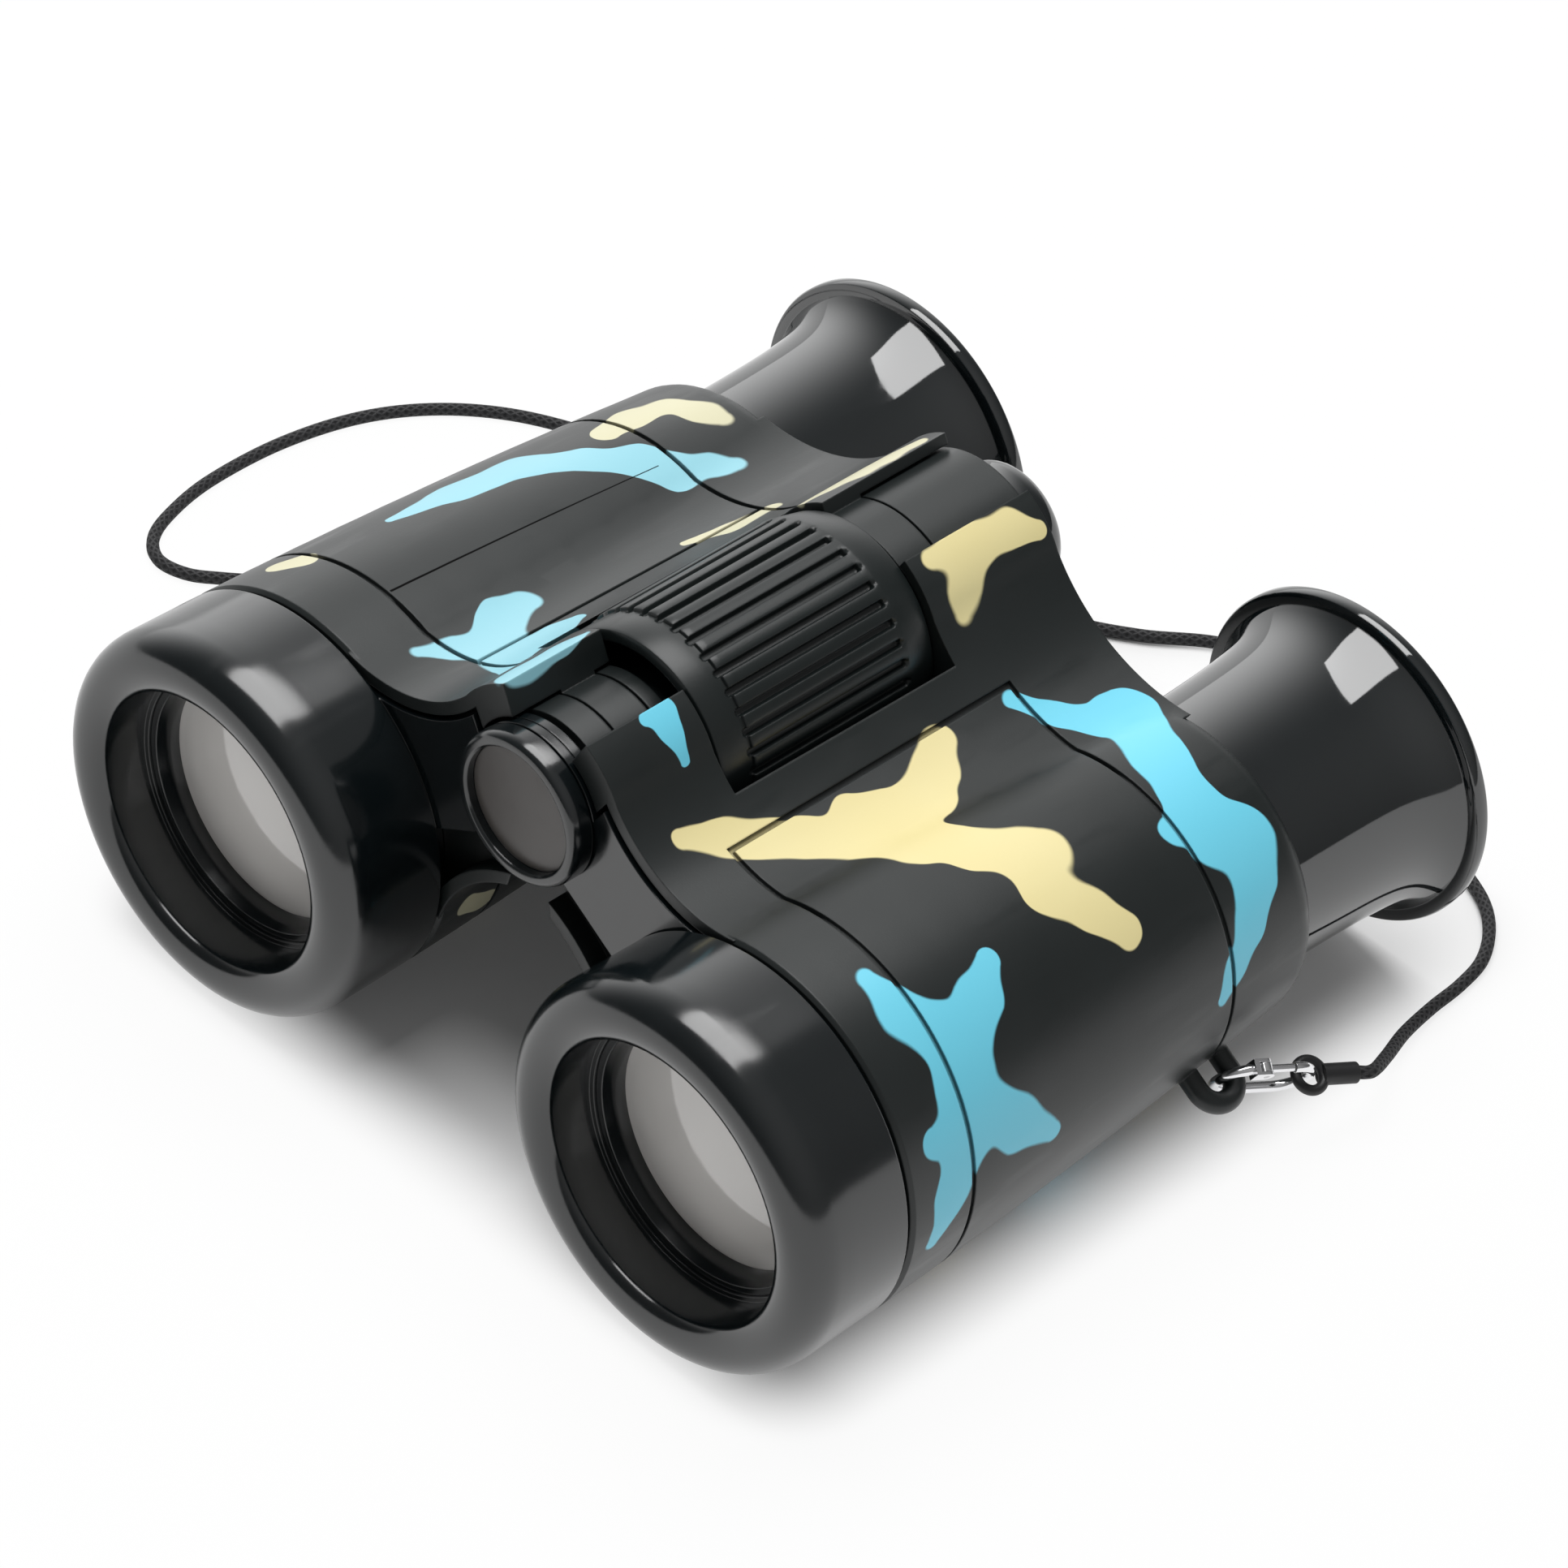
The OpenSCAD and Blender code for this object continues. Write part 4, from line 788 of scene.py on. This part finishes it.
# %% Eyepieces
tube_r, flange_r, cup_r, spigot_r, seat_r, throat_r = (r * mm for r in (14.5, 18.3, 16.9, 13.0, 10.2, 8.6))
eyepiece_run, flange_thick, cup_deep, seat_deep, edge = (d * mm for d in (24.4, 1.7, 7.0, 11.2, 0.4))
eye_columns, flare_steps, swell, flare = 193, 40, 0.75 * mm, 1.65 * mm
for side in ("right_", "left_"):
    eye_axle, spigot_front, eye_rear = axle_and_ends(side + "eyepiece")
    body_end, flange_front = eye_rear - eyepiece_run, eye_rear - flange_thick
    cup_floor, seat_floor = eye_rear - cup_deep, eye_rear - seat_deep
    trumpet = [(tube_r + swell * t**2 + flare * t**9, body_end + (flange_front - body_end) * t)
               for t in (1 - k / flare_steps for k in range(flare_steps + 1))]
    eye_profile = [
        (seat_r, cup_floor), (cup_r, eye_rear), (flange_r - edge, eye_rear),
        (flange_r - edge / 3, eye_rear - edge / 3), (flange_r, eye_rear - edge),
        (flange_r, flange_front + edge), (flange_r - edge / 3, flange_front + edge / 3),
        (flange_r - edge, flange_front), *trumpet, (spigot_r, body_end), (spigot_r, spigot_front),
        (throat_r, spigot_front), (throat_r, seat_floor), (seat_r, seat_floor), (seat_r, cup_floor)]
    turn_piece(side + "eyepiece", side + "eyepiece_turned", eye_profile, "gloss_black",
               Columns=eye_columns, Top_radius=flange_r, Axle=eye_axle, Finish=gloss_black)

# %% [markdown]
# The neck cord is a thin braid. It leaves the right clip, swings round behind the eyecups on the
# table, and comes back to the left clip. Its route is a list of given points, and a smooth
# curve runs through them all: each stretch bends as its two neighbours ask.

# %% Route of the neck cord
cord_radius = 0.7 * mm
cord_stations, cord_sides = 420, 12
right_start = Vector((55.05, 26.7, 6.9))
right_lead = Vector((0.361, 0.906, -0.219))
left_end = Vector((-62.7, 7.6, 2.26))
left_lead = Vector((-0.826, -0.259, -0.5))
lead_run = 2.0
route = [right_start, right_start + right_lead * lead_run, *map(Vector, (
    (54, 33, 4.4), (51.5, 39, 2.2), (50, 45, 0.9), (49.5, 50, 0.7), (48.5, 54.5, 0.7), (46, 58.5, 0.7),
    (42.5, 61.5, 0.7), (37, 64, 0.7), (30, 67.5, 0.7), (22, 71.5, 0.7), (13, 74.5, 0.7), (4, 74, 0.7),
    (-3, 70, 0.7), (-9, 64.5, 0.7), (-16, 60, 0.7), (-26, 56.5, 0.7), (-37, 53.5, 0.7), (-48, 50.5, 0.7),
    (-60, 46.5, 0.7), (-70, 42.5, 0.7), (-78, 38, 0.7), (-84, 32, 0.7), (-88, 24.5, 0.7), (-90, 15, 0.7),
    (-90, 5, 0.7), (-88.5, -2, 0.7), (-86.5, -6, 0.7), (-83.5, -7.8, 0.7), (-80, -7, 0.7), (-77, -4.5, 0.7),
    (-73.5, -1, 0.7), (-70, 2.5, 0.7), (-67, 5.5, 0.9))), left_end + left_lead * lead_run, left_end]


def smooth_point(points, share):
    at = share * (len(points) - 1)
    i = min(int(at), len(points) - 2)
    t = at - i
    before, a, b, after = (points[max(0, min(len(points) - 1, i + k))] for k in (-1, 0, 1, 2))
    return 0.5 * (2 * a + (b - before) * t + (2 * before - 5 * a + 4 * b - after) * t**2
                  + (3 * a - before - 3 * b + after) * t**3)


cord_path = [smooth_point(route, k / (cord_stations - 1)) * mm for k in range(cord_stations)]

# %% [markdown]
# A tube along a path is what Curve to Mesh is for. The tree keeps how far along and how far round
# each point lies, as a map of the braid's own, so that the strands can follow the cord. The round
# profile is an open arc whose ends meet, so the map has a clean seam, which is then welded.

# %% Geometry nodes: tube along a path
tube_tree, given, result = geometry_tree("tube along a path", {
    "Radius": ("Float", cord_radius), "Sides": ("Int", cord_sides), "Finish": ("Material", None)})
tree = tube_tree
profile = add(tree, "GeometryNodeCurveArc", {
    "Resolution": math_node(tree, "ADD", given["Sides"], 1), "Radius": given["Radius"],
    "Start Angle": 0.0, "Sweep Angle": 2 * math.pi})


def keep_measure(tree, curve, measure):
    kept = add(tree, "GeometryNodeCaptureAttribute", {"Geometry": curve})
    kept.capture_items.new("FLOAT", measure)
    spline = add(tree, "GeometryNodeSplineParameter")
    tree.links.new(spline.outputs[measure], kept.inputs[measure])
    return kept.outputs["Geometry"], kept.outputs[measure]


path, run = keep_measure(tree, given["Geometry"], "Length")
ring, round_share = keep_measure(tree, profile.outputs["Curve"], "Factor")
tube = add(tree, "GeometryNodeCurveToMesh", {"Curve": path, "Profile Curve": ring, "Fill Caps": False})
braid_map = add(tree, "ShaderNodeCombineXYZ", {"X": round_share, "Y": run})
mapped = add(tree, "GeometryNodeStoreNamedAttribute", {
    "Geometry": tube.outputs["Mesh"], "Name": "braid_map", "Value": braid_map.outputs["Vector"]},
    data_type="FLOAT2", domain="CORNER")
welded = add(tree, "GeometryNodeMergeByDistance", {"Geometry": mapped.outputs["Geometry"], "Distance": weld})
smooth = add(tree, "GeometryNodeSetShadeSmooth", {"Geometry": welded.outputs["Geometry"]})
real = add(tree, "GeometryNodeRealizeInstances", {"Geometry": smooth.outputs["Geometry"]})
painted = add(tree, "GeometryNodeSetMaterial", {
    "Geometry": real.outputs["Geometry"], "Material": given["Finish"]})
tree.links.new(painted.outputs["Geometry"], result["Geometry"])
print("tree:", tube_tree.name)

# %% [markdown]
# Braided cord is two sets of strands that cross like a plait. On the braid's own map these are two
# sets of slanted lines, and where they cross the bumps alternate. One end of the cord hangs on each
# half of the object.

# %% Neck cord
braid_dark, braid_light = (0.004, 0.004, 0.005, 1), (0.022, 0.022, 0.024, 1)
braid_valley, braid_gloss = -0.6, (0.85, 0.6)


def braid_finish(name, strands, lay_length):
    material, tree, shader = new_material(name)
    place = add(tree, "ShaderNodeUVMap", uv_map="braid_map").outputs["UV"]
    xyz = add(tree, "ShaderNodeSeparateXYZ", {0: place}).outputs
    turn = math_node(tree, "MULTIPLY", xyz["X"], 2 * math.pi * strands)
    run = math_node(tree, "MULTIPLY", xyz["Y"], 2 * math.pi / lay_length)
    left = math_node(tree, "SINE", math_node(tree, "ADD", turn, run))
    right = math_node(tree, "SINE", math_node(tree, "SUBTRACT", turn, run))
    height = math_node(tree, "MAXIMUM", left, right)
    tone = remap(tree, height, (braid_valley, 1), (0, 1))
    tree.links.new(two_tone(tree, tone, braid_dark, braid_light), shader.inputs["Base Color"])
    tree.links.new(remap(tree, tone, (0, 1), braid_gloss), shader.inputs["Roughness"])
    bump = add(tree, "ShaderNodeBump", {"Strength": 0.7, "Distance": 0.08 * mm, "Height": height})
    tree.links.new(bump.outputs["Normal"], shader.inputs["Normal"])
    return material


cord_black = braid_finish("black_braid", strands=6, lay_length=1.1 * mm)
cord_inputs = {"Radius": cord_radius, "Sides": cord_sides, "Finish": cord_black}
neck_cord = grow(line_object("cord_line", cord_path), tube_tree, cord_inputs, "neck_cord_braid")
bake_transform(neck_cord)
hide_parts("neck_cord")
print("cord faces:", len(neck_cord.data.polygons))
